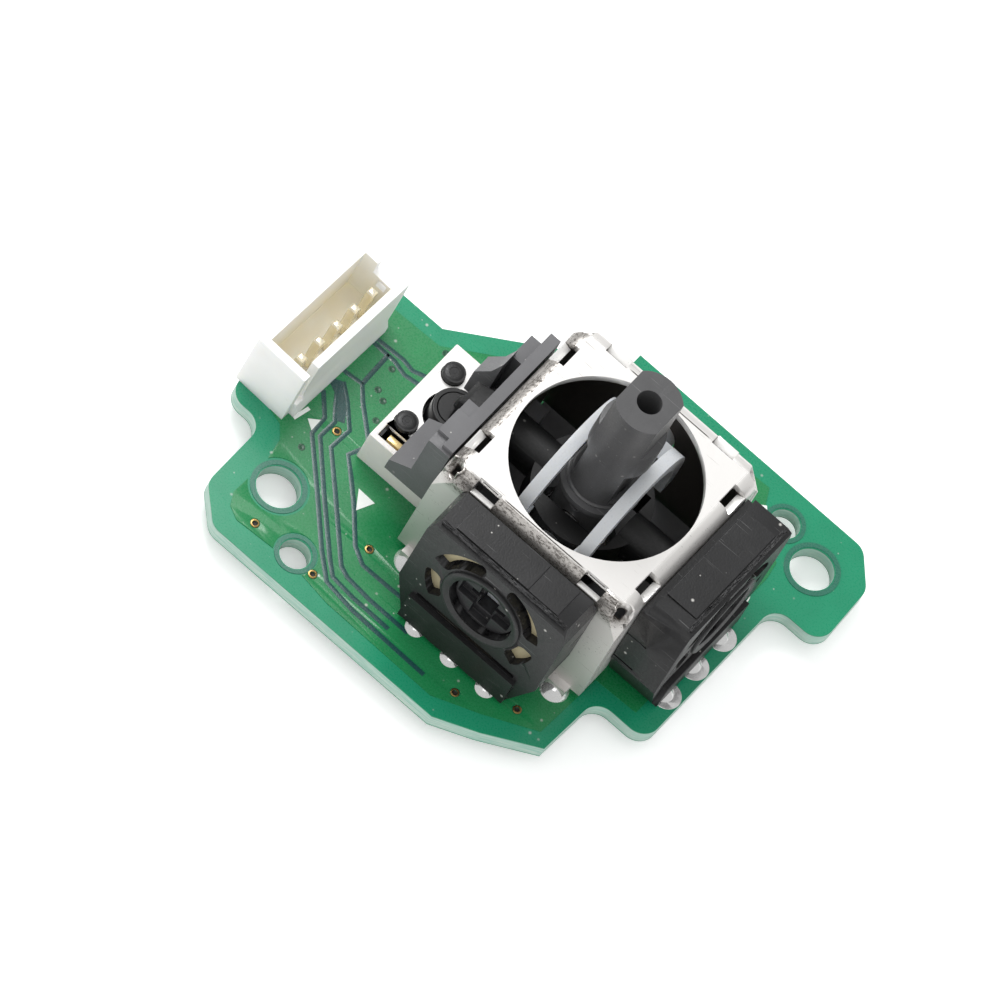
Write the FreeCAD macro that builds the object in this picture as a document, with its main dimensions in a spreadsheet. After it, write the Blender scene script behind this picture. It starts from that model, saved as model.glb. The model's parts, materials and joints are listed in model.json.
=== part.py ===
# Two axis thumb stick module on its green circuit board, with a push switch and a five way cable socket.
# Millimetres, +Z up. The row's origin is midway between the board's two screw holes, on its underside.
import FreeCAD
import Part
import Sketcher
import math
import os
import re

WORD = re.compile(r"[A-Za-z_][A-Za-z_0-9]*")
VECTORS = {"x": FreeCAD.Vector(1, 0, 0), "y": FreeCAD.Vector(0, 1, 0), "z": FreeCAD.Vector(0, 0, 1)}
SIGNS = ("-1", "1")
# The share of a turn that each face of the coiled wire covers
COIL_PART = 0.25
# How far a cutting shape runs past what it cuts, and how far two joined shapes share ground
OVER = "1"
BITE = "0.1"
parts = []

SIZES = {
    # Circuit board, from its own origin
    "board_thick": 1.0,
    "screw_spacing": 30.0,
    "screw_turn": 37.0,
    "screw_hole_d": 2.55,
    "peg_spacing": 28.1,
    "peg_turn": 50.2,
    "peg_hole_d": 1.8,
    "peg_mid_x": 0.2,
    "peg_mid_y": -0.72,
    "board_left": -17.55,
    "board_right": 15.12,
    "board_far": 12.15,
    "board_near": -13.55,
    "notch_left_x": -14.94,
    "notch_left_y": -6.65,
    "slope_start_x": -11.6,
    "slope_start_y": 5.2,
    "slope_end_x": -2.85,
    "slope_end_y": 11.55,
    "ear_inner_x": 11.88,
    "ear_inner_y": 5.78,
    "tongue_x": 8.4,
    "tongue_y": -5.98,
    "tongue_low_y": -10.47,
    "cut_mid_x": 5.06,
    "cut_mid_y": -12.37,
    "cut_end_x": 2.6,
    "edge_slope": 0.2,
    "corner_cut": 1.9,
    "corner_round": 1.1,
    "lead_hole_clear": 0.1,
    # Stick axis on the board, the tilt centre above it, and the clearances of all that moves
    "stick_x": 1.14,
    "stick_y": -0.45,
    "pivot_high": 6.0,
    "run_clear": 0.05,
    "press_clear": 0.2,
    "free_clear": 0.3,
    # Folded metal frame
    "frame_half": 6.5,
    "frame_top": 9.7,
    "sheet_thick": 0.5,
    "frame_round": 0.9,
    "opening_gap": 0.44,
    "slot_along": 3.79,
    "slot_length": 1.5,
    "slot_back": 0.05,
    "slot_turn": 63,
    "corner_hole_r": 0.45,
    "corner_hole_in": 0.5,
    "corner_reach": 8.2,
    "corner_lean": 0.42,
    "corner_gap": 0.15,
    "leg_wide": 1.8,
    "wall_low": 3.9,
    "leg_shoulder": 5.6,
    "tab_wide": 1.3,
    "tab_step": 0.55,
    "tab_step_low": 0.35,
    "lead_below": 1.1,
    "wall_foot": 0.6,
    # Gimbal
    "journal_r": 1.3,
    "yoke_r": 3.5,
    "yoke_rise": 0.9,
    "yoke_drop": 1.5,
    "arch_gap": 0.6,
    "arch_thick": 1.0,
    "arch_wide": 4.95,
    "arch_slot": 3.45,
    "arch_slot_angle": 63,
    "arch_lug": 2.3,
    "tongue_thick": 0.9,
    "tongue_high": 2.2,
    "tongue_reach": 1.5,
    "pin_r": 0.6,
    "nose_gap": 0.2,
    "nose_long": 1.1,
    "nose_wide": 1.75,
    "nose_rise": 0.65,
    # Stick, with heights above the pivot
    "stick_top": 17.8,
    "key_length": 3.1,
    "key_flat": 2.9,
    "shaft_r": 1.9,
    "shaft_base": 6.4,
    "neck_clear": 0.43,
    "foot_r": 1.8,
    "foot_rise": 1.0,
    "foot_drop": 2.1,
    "foot_swing": 0.75,
    "cone_top_r": 1.7,
    "collar_r": 2.4,
    "collar_low": 2.42,
    "collar_thick": 0.43,
    "tip_hole_r": 0.72,
    "tip_hole_deep": 3.0,
    # Spring and its seat
    "seat_r": 2.9,
    "seat_thick": 0.7,
    "seat_hub_r": 1.35,
    "seat_hub_high": 0.6,
    "coil_r": 1.95,
    "wire_r": 0.2,
    "coil_turns": 3,
    "coil_gap": 0.25,
    # Potentiometers, with heights from the pivot
    "pot_deep": 3.05,
    "pot_half": 4.85,
    "pot_top_half": 4.5,
    "pot_foot_half": 3.7,
    "pot_low": 0.35,
    "pot_side_drop": 2.8,
    "pot_side_rise": 2.7,
    "pot_rise": 3.9,
    "pot_lip": 0.3,
    "pot_lip_high": 2.6,
    "pot_face": 0.9,
    "pot_bore_r": 2.05,
    "pot_step": 0.4,
    "pot_step_deep": 0.9,
    "window_in_r": 3.0,
    "window_out_r": 3.75,
    "window_turn": 44,
    "window_angle": 60,
    "window_low_turn": 22,
    "window_low_angle": 34,
    "wafer_thick": 1.1,
    "wafer_half": 3.9,
    "wafer_drop": 4.4,
    "wafer_rise": 2.6,
    "wafer_bore_r": 2.2,
    "rotor_r": 2.95,
    "rotor_thick": 0.6,
    "hub_r": 1.95,
    "hub_sink": 0.35,
    "cross_deep": 0.85,
    "wiper_thick": 0.12,
    "wiper_margin": 0.3,
    "lead_pitch": 2.5,
    "lead_step": 0.25,
    "lead_wide": 0.7,
    "lead_thick": 0.35,
    "lead_shelf": 0.75,
    "solder_r": 0.85,
    "solder_high": 0.55,
    "solder_top_part": 0.45,
    "solder_low_r": 0.8,
    "solder_low_part": 0.6,
    # Push switch
    "switch_out": 2.25,
    "switch_long": 7.9,
    "switch_wide": 5.1,
    "switch_high": 2.7,
    "switch_wall": 0.35,
    "switch_floor": 0.5,
    "switch_plate": 0.25,
    "plate_inset": 0.3,
    "stem_r": 1.32,
    "stem_top": 4.0,
    "stem_bore_gap": 0.25,
    "stem_under": 0.9,
    "stem_flange_r": 1.9,
    "stem_flange": 0.5,
    "well_gap": 0.35,
    "post_x": 1.5,
    "post_y": 2.13,
    "post_r": 0.65,
    "post_high": 0.35,
    "dome_r": 2.0,
    "dome_top_r": 1.0,
    "dome_high": 0.4,
    "dome_thick": 0.15,
    "contact_wide": 1.0,
    "contact_off": 1.2,
    "contact_thick": 0.4,
    "contact_sink": 0.1,
    "bay_wall": 0.2,
    "bay_deep": 0.75,
    "switch_lead_off": 1.6,
    "switch_lead_in": 1.0,
    # Moulded holder between the frame and the switch
    "floor_thick": 0.9,
    "floor_gap": 0.1,
    "holder_gap": 0.15,
    "holder_thick": 1.45,
    "holder_wall": 0.7,
    "holder_high": 8.9,
    "holder_tab_near": 4.55,
    "holder_tab_long": 1.8,
    "holder_gate": 1.9,
    "holder_near": 5.1,
    "holder_far": 4.6,
    "holder_notch": 1.7,
    "bridge_thick": 0.35,
    "post_thick": 0.85,
    "foot_out": 1.3,
    "foot_near": 5.3,
    "foot_thick": 0.95,
    "foot_slope": 0.8,
    "foot_below": 0.3,
    "brace_out": 1.2,
    "brace_wide": 1.3,
    "brace_high": 5.4,
    "brace_step": 0.4,
    "brace_below": 0.9,
    "end_out": 0.1,
    "end_long": 1.8,
    "end_below": 1.5,
    # Cable socket, from its own middle
    "socket_x": -15.92,
    "socket_y": -1.2,
    "socket_turn": -2.5,
    "socket_wide": 3.4,
    "socket_high": 4.7,
    "socket_wall": 0.5,
    "socket_floor": 1.2,
    "socket_pins": 5,
    "socket_pitch": 1.5,
    "socket_end": 1.5,
    "socket_pin_off": 0.5,
    "socket_pin": 0.5,
    "socket_pin_sink": 0.8,
    "socket_notch": 1.5,
    "socket_notch_deep": 1.0,
    "socket_eye": 0.6,
    "socket_eye_x": 0.5,
    "socket_eye_low": 2.85,
    "socket_key": 0.7,
    "socket_ledge_out": 0.35,
    "socket_ledge_low": 0.7,
    "socket_ledge_high": 1.6,
    "socket_ledge_in": 0.6,
    "socket_solder_r": 0.65,
}

doc = FreeCAD.newDocument("analog_stick")
sheet = doc.addObject("Spreadsheet::Sheet", "sizes")
for row, (word, number) in enumerate(SIZES.items(), 1):
    sheet.set(f"A{row}", word)
    sheet.set(f"B{row}", str(number))
    sheet.setAlias(f"B{row}", word)
doc.recompute()

# Places that several pieces share, worked out from the sizes above
ARCH_IN = "(yoke_r + arch_gap)"
ARCH_OUT = "(yoke_r + arch_gap + arch_thick)"
TAB_MID = "(frame_half - sheet_thick - corner_gap - tab_wide / 2)"
LEG_IN = "(frame_half - sheet_thick - corner_gap - leg_wide)"
TAB_ACROSS = "(frame_half - sheet_thick / 2 + tab_step)"
POT_IN = "(frame_half + run_clear)"
POT_OUT = "(frame_half + run_clear + pot_deep)"
LEAD_OUT = "(frame_half + run_clear + pot_deep + lead_step)"
SWITCH_X = "(-frame_half - switch_out)"
SWITCH_LEAD_X = "(-frame_half - switch_out - switch_lead_off)"
SWITCH_LEAD_Y = "(switch_long / 2 - switch_lead_in)"
PLATE_TOP = "(switch_high + switch_plate)"
HOLDER_LOW = "(switch_high + switch_plate + post_high + run_clear)"
HOLDER_OUT = "(frame_half + holder_gap + holder_thick)"
HOLDER_FACE = "(frame_half + holder_gap + holder_wall)"
SEAT_TOP = "(floor_thick + seat_thick)"
SOCKET_LONG = "((socket_pins - 1) * socket_pitch + 2 * socket_end)"


def value(word):
    return float(sheet.get(word))


def bind(item, field, text):
    item.setExpression(field, WORD.sub(lambda m: "sizes." + m.group(0) if m.group(0) in SIZES else m.group(0),
                                       str(text)))


# Places are given from the stick's axis at the board's top face unless home says otherwise.
MODULE = ("stick_x", "stick_y", "board_thick")
BOARD = ("0", "0", "0")


def place(item, spots, home=MODULE):
    for letter, spot, start in zip("xyz", spots, home):
        bind(item, "Placement.Base." + letter, f"{start} + ({spot})")


def span(middle, wide):
    return (f"({middle}) - ({wide}) / 2", f"({middle}) + ({wide}) / 2")


def block(name, x, y, z, home=MODULE):
    item = doc.addObject("Part::Box", name)
    for field, ends in zip(("Length", "Width", "Height"), (x, y, z)):
        bind(item, field, f"({ends[1]}) - ({ends[0]})")
    place(item, (x[0], y[0], z[0]), home)
    return item


def rod(name, axis, radius, spots, length, home=MODULE, top=None):
    item = doc.addObject("Part::Cone" if top else "Part::Cylinder", name)
    if top:
        bind(item, "Radius1", radius)
        bind(item, "Radius2", top)
    else:
        bind(item, "Radius", radius)
    bind(item, "Height", length)
    item.Placement = FreeCAD.Placement(FreeCAD.Vector(), FreeCAD.Rotation(VECTORS["z"], VECTORS[axis]))
    place(item, spots, home)
    return item


def pillar(name, radius, x, y, z, top=None):
    return rod(name, "z", radius, (x, y, z[0]), f"({z[1]}) - ({z[0]})", top=top)


# A straight prism: an outline drawn in the xy, xz or yz plane and pushed along the third axis.
# Its corners start on a small circle, and the constraints take each one to its place.
TURNS = {"xy": (0, 0, 0), "xz": (0, 0, 90), "yz": (90, 0, 90)}


def prism(name, plane, outline, start, length, home=MODULE):
    sketch = doc.addObject("Sketcher::SketchObject", name + "_outline")
    sketch.Placement = FreeCAD.Placement(FreeCAD.Vector(), FreeCAD.Rotation(*TURNS[plane]))
    count = len(outline)
    for i in range(count):
        turns = [2 * math.pi * j / count for j in (i, i + 1)]
        ends = [FreeCAD.Vector(math.cos(a), math.sin(a), 0) for a in turns]
        sketch.addGeometry(Part.LineSegment(*ends), False)
    for i in range(count):
        sketch.addConstraint(Sketcher.Constraint("Coincident", i, 2, (i + 1) % count, 1))
    for i, point in enumerate(outline):
        for kind, text in zip(("DistanceX", "DistanceY"), point):
            number = sketch.addConstraint(Sketcher.Constraint(kind, -1, 1, i, 1, 1.0))
            bind(sketch, f"Constraints[{number}]", text)
    third = "xyz".replace(plane[0], "").replace(plane[1], "")
    place(sketch, [start if letter == third else "0" for letter in "xyz"], home)
    item = doc.addObject("Part::Extrusion", name)
    item.Base = sketch
    item.DirMode = "Custom"
    item.Dir = VECTORS[third]
    item.Solid = True
    bind(item, "LengthFwd", length)
    return item


def fuse(name, *items):
    joined = doc.addObject("Part::MultiFuse", name)
    joined.Shapes = list(items)
    joined.Refine = True
    return joined


def cut(name, base, *tools):
    item = doc.addObject("Part::Cut", name)
    item.Base = base
    item.Tool = tools[0] if len(tools) == 1 else fuse(name + "_cuts", *tools)
    item.Refine = True
    return item


def shared(name, *items):
    item = doc.addObject("Part::MultiCommon", name)
    item.Shapes = list(items)
    return item


def round_edges(name, base, radius, wanted, kind="Part::Fillet"):
    doc.recompute()
    item = doc.addObject(kind, name)
    item.Base = base
    item.Edges = [(n, radius, radius) for n, edge in enumerate(base.Shape.Edges, 1) if wanted(edge)]
    return item


def node(name, item):
    item.Label = name
    parts.append((name, item))
    return item


def upright_at(edge, corner):
    near = 0.01
    box = edge.BoundBox
    level = box.XLength < near and box.YLength < near and box.ZLength > near
    return level and abs(box.XMin - corner.x) < near and abs(box.YMin - corner.y) < near


# Circuit board with its screw holes, locating holes and every soldered lead's hole
def board():
    outline = [("board_left", "slope_start_y"), ("board_left", "notch_left_y"),
               ("notch_left_x", "notch_left_y"), ("notch_left_x", "board_near + corner_cut"),
               ("notch_left_x + corner_cut", "board_near"), ("cut_end_x", "board_near"),
               ("cut_mid_x", "cut_mid_y"), ("tongue_x - edge_slope", "tongue_low_y"),
               ("tongue_x", "tongue_y"), ("ear_inner_x", "tongue_y"), ("ear_inner_x", "ear_inner_y"),
               ("board_right", "ear_inner_y"), ("board_right - edge_slope", "board_far - corner_cut"),
               ("board_right - corner_cut", "board_far"), ("slope_end_x", "board_far"),
               ("slope_end_x", "slope_end_y"), ("slope_start_x", "slope_start_y")]
    rounded = (1, 2, 3, 4, 8, 9, 10, 11, 12, 13)
    plate = prism("board_plate", "xy", outline, "0", "board_thick", BOARD)
    doc.recompute()
    corners = [plate.Base.Geometry[i].StartPoint for i in rounded]
    plate = round_edges("board_rounded", plate, value("corner_round"),
                        lambda edge: any(upright_at(edge, corner) for corner in corners))
    holes = []
    for kind, mid in (("screw", ("0", "0")), ("peg", ("peg_mid_x", "peg_mid_y"))):
        for sign in SIGNS:
            spot = (f"{mid[0]} + {sign} * {kind}_spacing / 2 * cos({kind}_turn)",
                    f"{mid[1]} + {sign} * {kind}_spacing / 2 * sin({kind}_turn)", f"-{OVER}")
            holes.append(rod(kind + "_hole", "z", f"{kind}_hole_d / 2", spot,
                             f"board_thick + 2 * {OVER}", BOARD))
    for x, y, radius in lead_spots():
        holes.append(pillar("lead_hole", f"{radius} + lead_hole_clear", x, y,
                            (f"-board_thick - {OVER}", OVER)))
    node("circuit_board", cut("circuit_board", plate, *holes))


# Where each metal lead goes through the board, from the stick's axis, with the radius it needs
def lead_spots():
    spots = []
    for step in ("-1", "0", "1"):
        spots.append((f"{step} * lead_pitch", f"-{LEAD_OUT}", "lead_wide / 2"))
        spots.append((LEAD_OUT, f"{step} * lead_pitch", "lead_wide / 2"))
    for side in SIGNS:
        for end in SIGNS:
            spots.append((f"{side} * {TAB_MID}", f"{end} * {TAB_ACROSS}", "tab_wide / 2"))
    for end in SIGNS:
        spots.append((SWITCH_LEAD_X, f"{end} * {SWITCH_LEAD_Y}", "lead_wide / 2"))
    for x, y in socket_spots():
        spots.append((x, y, "socket_pin * 0.71"))
    return spots


def pin_step(number):
    return f"({number} - (socket_pins - 1) / 2) * socket_pitch"


def socket_spots():
    spots = []
    for number in range(int(value("socket_pins"))):
        step = pin_step(number)
        spots.append((f"socket_x - stick_x + socket_pin_off * cos(socket_turn) - {step} * sin(socket_turn)",
                      f"socket_y - stick_y + socket_pin_off * sin(socket_turn) + {step} * cos(socket_turn)"))
    return spots


# Folded sheet frame: a round opening, slots across the bends, leaning corner cuts, four walls and four legs
def frame():
    wide = span("0", "2 * frame_half")
    hollow = span("0", "2 * (frame_half - sheet_thick)")
    past = span("0", f"2 * (frame_half + {OVER})")
    near_board = f"-{OVER}"
    through = ("frame_top - 2 * sheet_thick", f"frame_top + {OVER}")
    outer = block("frame_outer", wide, wide, ("0", "frame_top"))
    inner = block("frame_inner", hollow, hollow, (near_board, "frame_top - sheet_thick"))
    outer = round_top("frame_bends", outer, value("frame_round"))
    inner = round_top("frame_inner_bends", inner, value("frame_round") - value("sheet_thick"))
    cuts = [inner, pillar("frame_opening", f"{ARCH_OUT} + opening_gap", "0", "0", through)]
    for a in SIGNS:
        for b in SIGNS:
            at = [f"{sign} * (frame_half - corner_hole_in)" for sign in (a, b)]
            cuts.append(pillar("frame_corner_hole", "corner_hole_r", *at, through))
            gap = span(f"{b} * (frame_half - sheet_thick - corner_gap / 2)", "corner_gap")
            side = outside(a, f"frame_half - sheet_thick - {BITE}")
            cuts.append(block("frame_corner_gap", side, gap,
                              (near_board, "frame_top - frame_round - sheet_thick / 2")))
            cuts.append(bend_slot("x", a, b))
            cuts.append(bend_slot("y", a, b))
        # below the shoulder each near leg narrows to its tab
        narrow = (f"{LEG_IN} - {BITE}", f"{TAB_MID} - tab_wide / 2")
        inside = narrow if a == "1" else [f"-({end})" for end in narrow[::-1]]
        wall = outside("-1", f"frame_half - sheet_thick - {BITE}")
        cuts.append(block("frame_leg_shoulder", inside, wall, (near_board, "leg_shoulder")))
    # the far wall is closed, and the other three are open low down
    middle = span("0", f"2 * {LEG_IN}")
    cuts.append(block("frame_window", past, middle, (near_board, "wall_low")))
    cuts.append(block("frame_window", middle, (past[0], "0"), (near_board, "wall_low")))
    for axis in "xy":
        cuts += bearing(axis, past, "run_clear")
    # the switch side lets the yoke's arm dip and lean a little when the stick is pressed
    cuts += bearing("x", outside("-1", "frame_half - 2 * sheet_thick"), "press_clear")
    # every wall ends above the board, so that only the stepped tabs of two of them go through it
    cuts.append(block("frame_trim", past, past, (near_board, "wall_foot")))
    walls = shared("frame_leaning", cut("frame_walls", outer, *cuts),
                   pillar("frame_corners", "corner_reach + corner_lean * frame_top", "0", "0",
                          ("0", "frame_top"), "corner_reach"))
    legs = []
    step = ("tab_step_low", "tab_step_low + sheet_thick")
    for side in SIGNS:
        for end in SIGNS:
            x = span(f"{side} * {TAB_MID}", "tab_wide")
            legs.append(block("frame_leg", x, span(f"{end} * {TAB_ACROSS}", "sheet_thick"),
                              ("-board_thick - lead_below", step[1])))
            legs.append(block("frame_leg_step", x, step_out(end), step))
    node("metal_frame", fuse("metal_frame", walls, *legs))


def step_out(sign):
    ends = ("frame_half - sheet_thick", f"{TAB_ACROSS} + sheet_thick / 2")
    return ends if sign == "1" else [f"-({end})" for end in ends[::-1]]


# A slot punched before the bend: from the flat top it runs round the bend to an end square to the sheet.
def bend_slot(axis, side, along):
    turn = "frame_half - frame_round"
    level = "frame_top - frame_round"
    reach = "2 * frame_round"
    top = f"frame_top + {OVER}"
    outline = [(f"{turn} - slot_back", top), (f"{turn} - slot_back", "frame_top - 1.2 * sheet_thick"),
               (turn, level), (f"{turn} + {reach} * sin(slot_turn)", f"{level} + {reach} * cos(slot_turn)"),
               (f"{turn} + {reach} * sin(slot_turn)", top)]
    plane = "xz" if axis == "x" else "yz"
    return prism("frame_slot", plane, [(f"{side} * ({out})", high) for out, high in outline],
                 f"{along} * slot_along - slot_length / 2", "slot_length")


def round_top(name, item, radius):
    doc.recompute()
    top = item.Shape.BoundBox.ZMax
    return round_edges(name, item, radius, lambda edge: edge.BoundBox.ZMin > top - 0.01)


def outside(sign, start):
    far = f"frame_half + {OVER}"
    return (start, far) if sign == "1" else (f"-({far})", f"-({start})")


def turned_spans(axis, along, across):
    return (along, across) if axis == "x" else (across, along)


def bearing(axis, along, fit):
    radius = f"journal_r + {fit}"
    across = span("0", f"2 * ({radius})")
    slot = block("frame_notch", *turned_spans(axis, along, across), (f"-{OVER}", "pivot_high"))
    start = (along[0], "0", "pivot_high") if axis == "x" else ("0", along[0], "pivot_high")
    return [slot, rod("frame_bearing", axis, radius, start, f"({along[1]}) - ({along[0]})")]


# A potentiometer is drawn once and put on two sides: t runs along its face and u outwards from the stick.
class Side:
    def __init__(self, word):
        self.word = word
        self.axis = "y" if word == "x" else "x"
        self.plane = "xz" if word == "x" else "yz"

    def block(self, name, t, u, z):
        if self.word == "x":
            return block(name, t, (f"-({u[1]})", f"-({u[0]})"), z)
        return block(name, u, t, z)

    def rod(self, name, radius, u):
        spots = ("0", f"-({u[1]})", "pivot_high") if self.word == "x" else (u[0], "0", "pivot_high")
        return rod(name, self.axis, radius, spots, f"({u[1]}) - ({u[0]})")

    def pillar(self, name, radius, t, u, z, top=None):
        x, y = (t, f"-({u})") if self.word == "x" else (u, t)
        return pillar(name, radius, x, y, z, top)

    def prism(self, name, outline, u):
        start = f"-({u[1]})" if self.word == "x" else u[0]
        return prism(name, self.plane, outline, start, f"({u[1]}) - ({u[0]})")


def ring_window(side, name, middle, spread, u):
    ring = cut(name + "_ring", side.rod(name + "_out", "window_out_r", u),
               side.rod(name + "_in", "window_in_r", (f"{u[0]} - {OVER}", f"{u[1]} + {OVER}")))
    rays = []
    for sign in SIGNS:
        turn = f"{middle} + {sign} * {spread} / 2"
        rays.append((f"2 * window_out_r * cos({turn})", f"pivot_high + 2 * window_out_r * sin({turn})"))
    return shared(name, ring, side.prism(name + "_wedge", [("0", "pivot_high"), *rays], u))


def pot_cover(side, name):
    top = "pivot_high + pot_rise"
    high = "pivot_high + pot_side_rise"
    low = "pivot_high - pot_side_drop"
    body = side.prism(name + "body", [
        ("-pot_foot_half", "pot_low"), ("pot_foot_half", "pot_low"), ("pot_half", low), ("pot_half", high),
        ("pot_top_half", top), ("-pot_top_half", top), ("-pot_half", high), ("-pot_half", low)],
        (POT_IN, POT_OUT))
    lip = side.block(name + "lip", span("0", "2 * pot_foot_half"), (POT_IN, f"{POT_OUT} + pot_lip"),
                     ("pot_low", "pot_lip_high"))
    inside = f"{POT_IN} - {OVER}"
    back = f"{POT_IN} + wafer_thick"
    shelf_top = "lead_shelf + lead_thick + lead_hole_clear"
    lead_room = span("0", "2 * (lead_pitch + lead_wide)")
    wafer_low = "pivot_high - wafer_drop"
    cuts = [side.rod(name + "cavity", "window_out_r", (back, f"{POT_OUT} - pot_face")),
            side.block(name + "wafer_seat", span("0", "2 * (wafer_half + run_clear)"), (inside, back),
                       (f"{wafer_low} - run_clear", "pivot_high + wafer_rise + run_clear")),
            side.rod(name + "bore", "pot_bore_r", (POT_IN, f"{POT_OUT} + {OVER}")),
            side.block(name + "step", span("0", "2 * pot_half"), (inside, f"{POT_IN} + pot_step"),
                       ("pivot_high + pot_rise - pot_step_deep", f"pivot_high + pot_rise + {OVER}")),
            side.block(name + "lead_room", lead_room, (inside, POT_OUT), ("0", shelf_top)),
            side.block(name + "lead_way", lead_room, (inside, back), ("0", wafer_low))]
    front = (f"{POT_OUT} - pot_face - {BITE}", f"{POT_OUT} + {OVER}")
    windows = (("window_turn", "window_angle"), ("180 - window_turn", "window_angle"),
               ("-window_low_turn", "window_low_angle"), ("180 + window_low_turn", "window_low_angle"))
    for number, (middle, spread) in enumerate(windows, 1):
        cuts.append(ring_window(side, f"{name}window_{number}", middle, spread, front))
    for step in ("-1", "0", "1"):
        cuts.append(side.block(name + "lead_slot", span(f"{step} * lead_pitch", "2 * (solder_r + run_clear)"),
                               (f"{LEAD_OUT} - solder_r - run_clear", f"{POT_OUT} + pot_lip + {OVER}"),
                               ("0", shelf_top)))
    node(name + "cover", cut(name + "cover", fuse(name + "shell", body, lip), *cuts))


def pot_wafer(side, name):
    plate = side.block(name + "plate", span("0", "2 * wafer_half"), (POT_IN, f"{POT_IN} + wafer_thick"),
                       ("pivot_high - wafer_drop", "pivot_high + wafer_rise"))
    bore = side.rod(name + "wafer_bore", "wafer_bore_r", (f"{POT_IN} - {OVER}", POT_OUT))
    node(name + "wafer", cut(name + "wafer", plate, bore))


def pot_terminals(side, name):
    bumps = []
    leads = []
    for number, step in enumerate(("-1", "0", "1"), 1):
        t = span(f"{step} * lead_pitch", "lead_wide")
        shelf = ("lead_shelf", "lead_shelf + lead_thick")
        lead = fuse(f"{name}lead_{number}",
                    side.block("lead_up", t, (POT_IN, f"{POT_IN} + lead_thick"),
                               ("lead_shelf", "pivot_high - wafer_drop")),
                    side.block("lead_out", t, (POT_IN, f"{LEAD_OUT} + lead_thick / 2"), shelf),
                    side.block("lead_down", t, span(LEAD_OUT, "lead_thick"),
                               ("-board_thick - lead_below", "lead_shelf + lead_thick")))
        leads.append(node(f"{name}terminal_{number}", lead))
        bumps += solder(side.pillar, f"{step} * lead_pitch", LEAD_OUT, "lead_wide")
    node(name + "solder", cut(name + "solder", fuse(name + "bumps", *bumps), *leads))


# The turning hub takes the yoke's tongue in a crossed slot and carries the wiper towards the wafer.
def pot_rotor(side, name):
    disc_back = f"{POT_IN} + wafer_thick + free_clear"
    hub_end = f"{POT_OUT} - hub_sink"
    disc = side.rod(name + "disc", "rotor_r", (disc_back, f"{disc_back} + rotor_thick"))
    hub = side.rod(name + "hub", "hub_r", ("frame_half + run_clear", hub_end))
    wide = span("0", "tongue_thick + 2 * run_clear")
    high = span("0", "tongue_high + 2 * run_clear")
    wide_up = span("pivot_high", "tongue_thick + 2 * run_clear")
    high_up = span("pivot_high", "tongue_high + 2 * run_clear")
    slots = [side.block(name + "key_slot", wide, (f"{POT_IN} - {OVER}", POT_OUT), high_up),
             side.block(name + "cross_slot", high, (f"{hub_end} - cross_deep", POT_OUT), wide_up)]
    node(name + "rotor", cut(name + "rotor", fuse(name + "turning", disc, hub), *slots))
    wiper = cut(name + "wiper",
                side.rod(name + "wiper_disc", "rotor_r - wiper_margin",
                         (f"{disc_back} - wiper_thick", disc_back)),
                side.rod(name + "wiper_bore", "hub_r + wiper_margin", (POT_IN, POT_OUT)))
    node(name + "wiper", wiper)


def potentiometer(word):
    side = Side(word)
    name = word + "_pot_"
    pot_cover(side, name)
    pot_wafer(side, name)
    pot_terminals(side, name)
    pot_rotor(side, name)


# Solder domes above and below the board round one lead; the hole itself is filled too.
def solder(make, t, u, wide, under="solder_low_r"):
    return [make("solder_top", "solder_r", t, u, ("0", "solder_high"), "solder_r * solder_top_part"),
            make("solder_core", f"{wide} / 2 + lead_hole_clear", t, u, ("-board_thick", "0")),
            make("solder_under", f"{under} * solder_low_part", t, u,
                 ("-board_thick - solder_high", "-board_thick"), under)]


def frame_solder():
    bumps = []
    for side in SIGNS:
        for end in SIGNS:
            bumps += solder(pillar, f"{side} * {TAB_MID}", f"{end} * {TAB_ACROSS}", "tab_wide")
    node("frame_solder", cut("frame_solder", fuse("frame_bumps", *bumps), dict(parts)["metal_frame"]))


# Lower yoke: turns about X, carries the stick's cross pin, turns one wiper and presses the switch
def lower_yoke():
    p = "pivot_high"
    arm_end = f"-{HOLDER_FACE} - nose_gap"
    ring = pillar("yoke_ring", "yoke_r", "0", "0", (f"{p} - yoke_drop", f"{p} + yoke_rise"))
    arms = rod("yoke_arms", "x", "journal_r", (arm_end, "0", p), f"frame_half - run_clear - ({arm_end})")
    key = block("yoke_key", (f"frame_half - run_clear - {BITE}", "frame_half + tongue_reach"),
                span("0", "tongue_thick"), span(p, "tongue_high"))
    nose = shared("yoke_nose", rod("yoke_nose_round", "x", f"{p} - stem_top - run_clear",
                                   (f"{arm_end} - nose_long", "0", p), f"nose_long + {BITE}"),
                  block("yoke_nose_sides", (f"{arm_end} - nose_long", f"{arm_end} + {BITE}"),
                        span("0", "nose_wide"), ("0", f"{p} + nose_rise")))
    window = block("yoke_window", span("0", "2 * (foot_r + foot_swing)"),
                   span("0", "2 * (foot_r + free_clear)"),
                   (f"{p} - yoke_drop - {OVER}", f"{p} + yoke_rise + {OVER}"))
    pin_way = rod("yoke_pin_bore", "y", "pin_r", ("0", f"-yoke_r - {OVER}", p), f"2 * (yoke_r + {OVER})")
    node("lower_yoke", cut("lower_yoke", fuse("yoke_solid", ring, arms, key, nose), window, pin_way))
    pin_end = "yoke_r - run_clear"
    node("cross_pin", rod("yoke_pin", "y", "pin_r", ("0", f"-({pin_end})", p), f"2 * ({pin_end})"))


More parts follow.
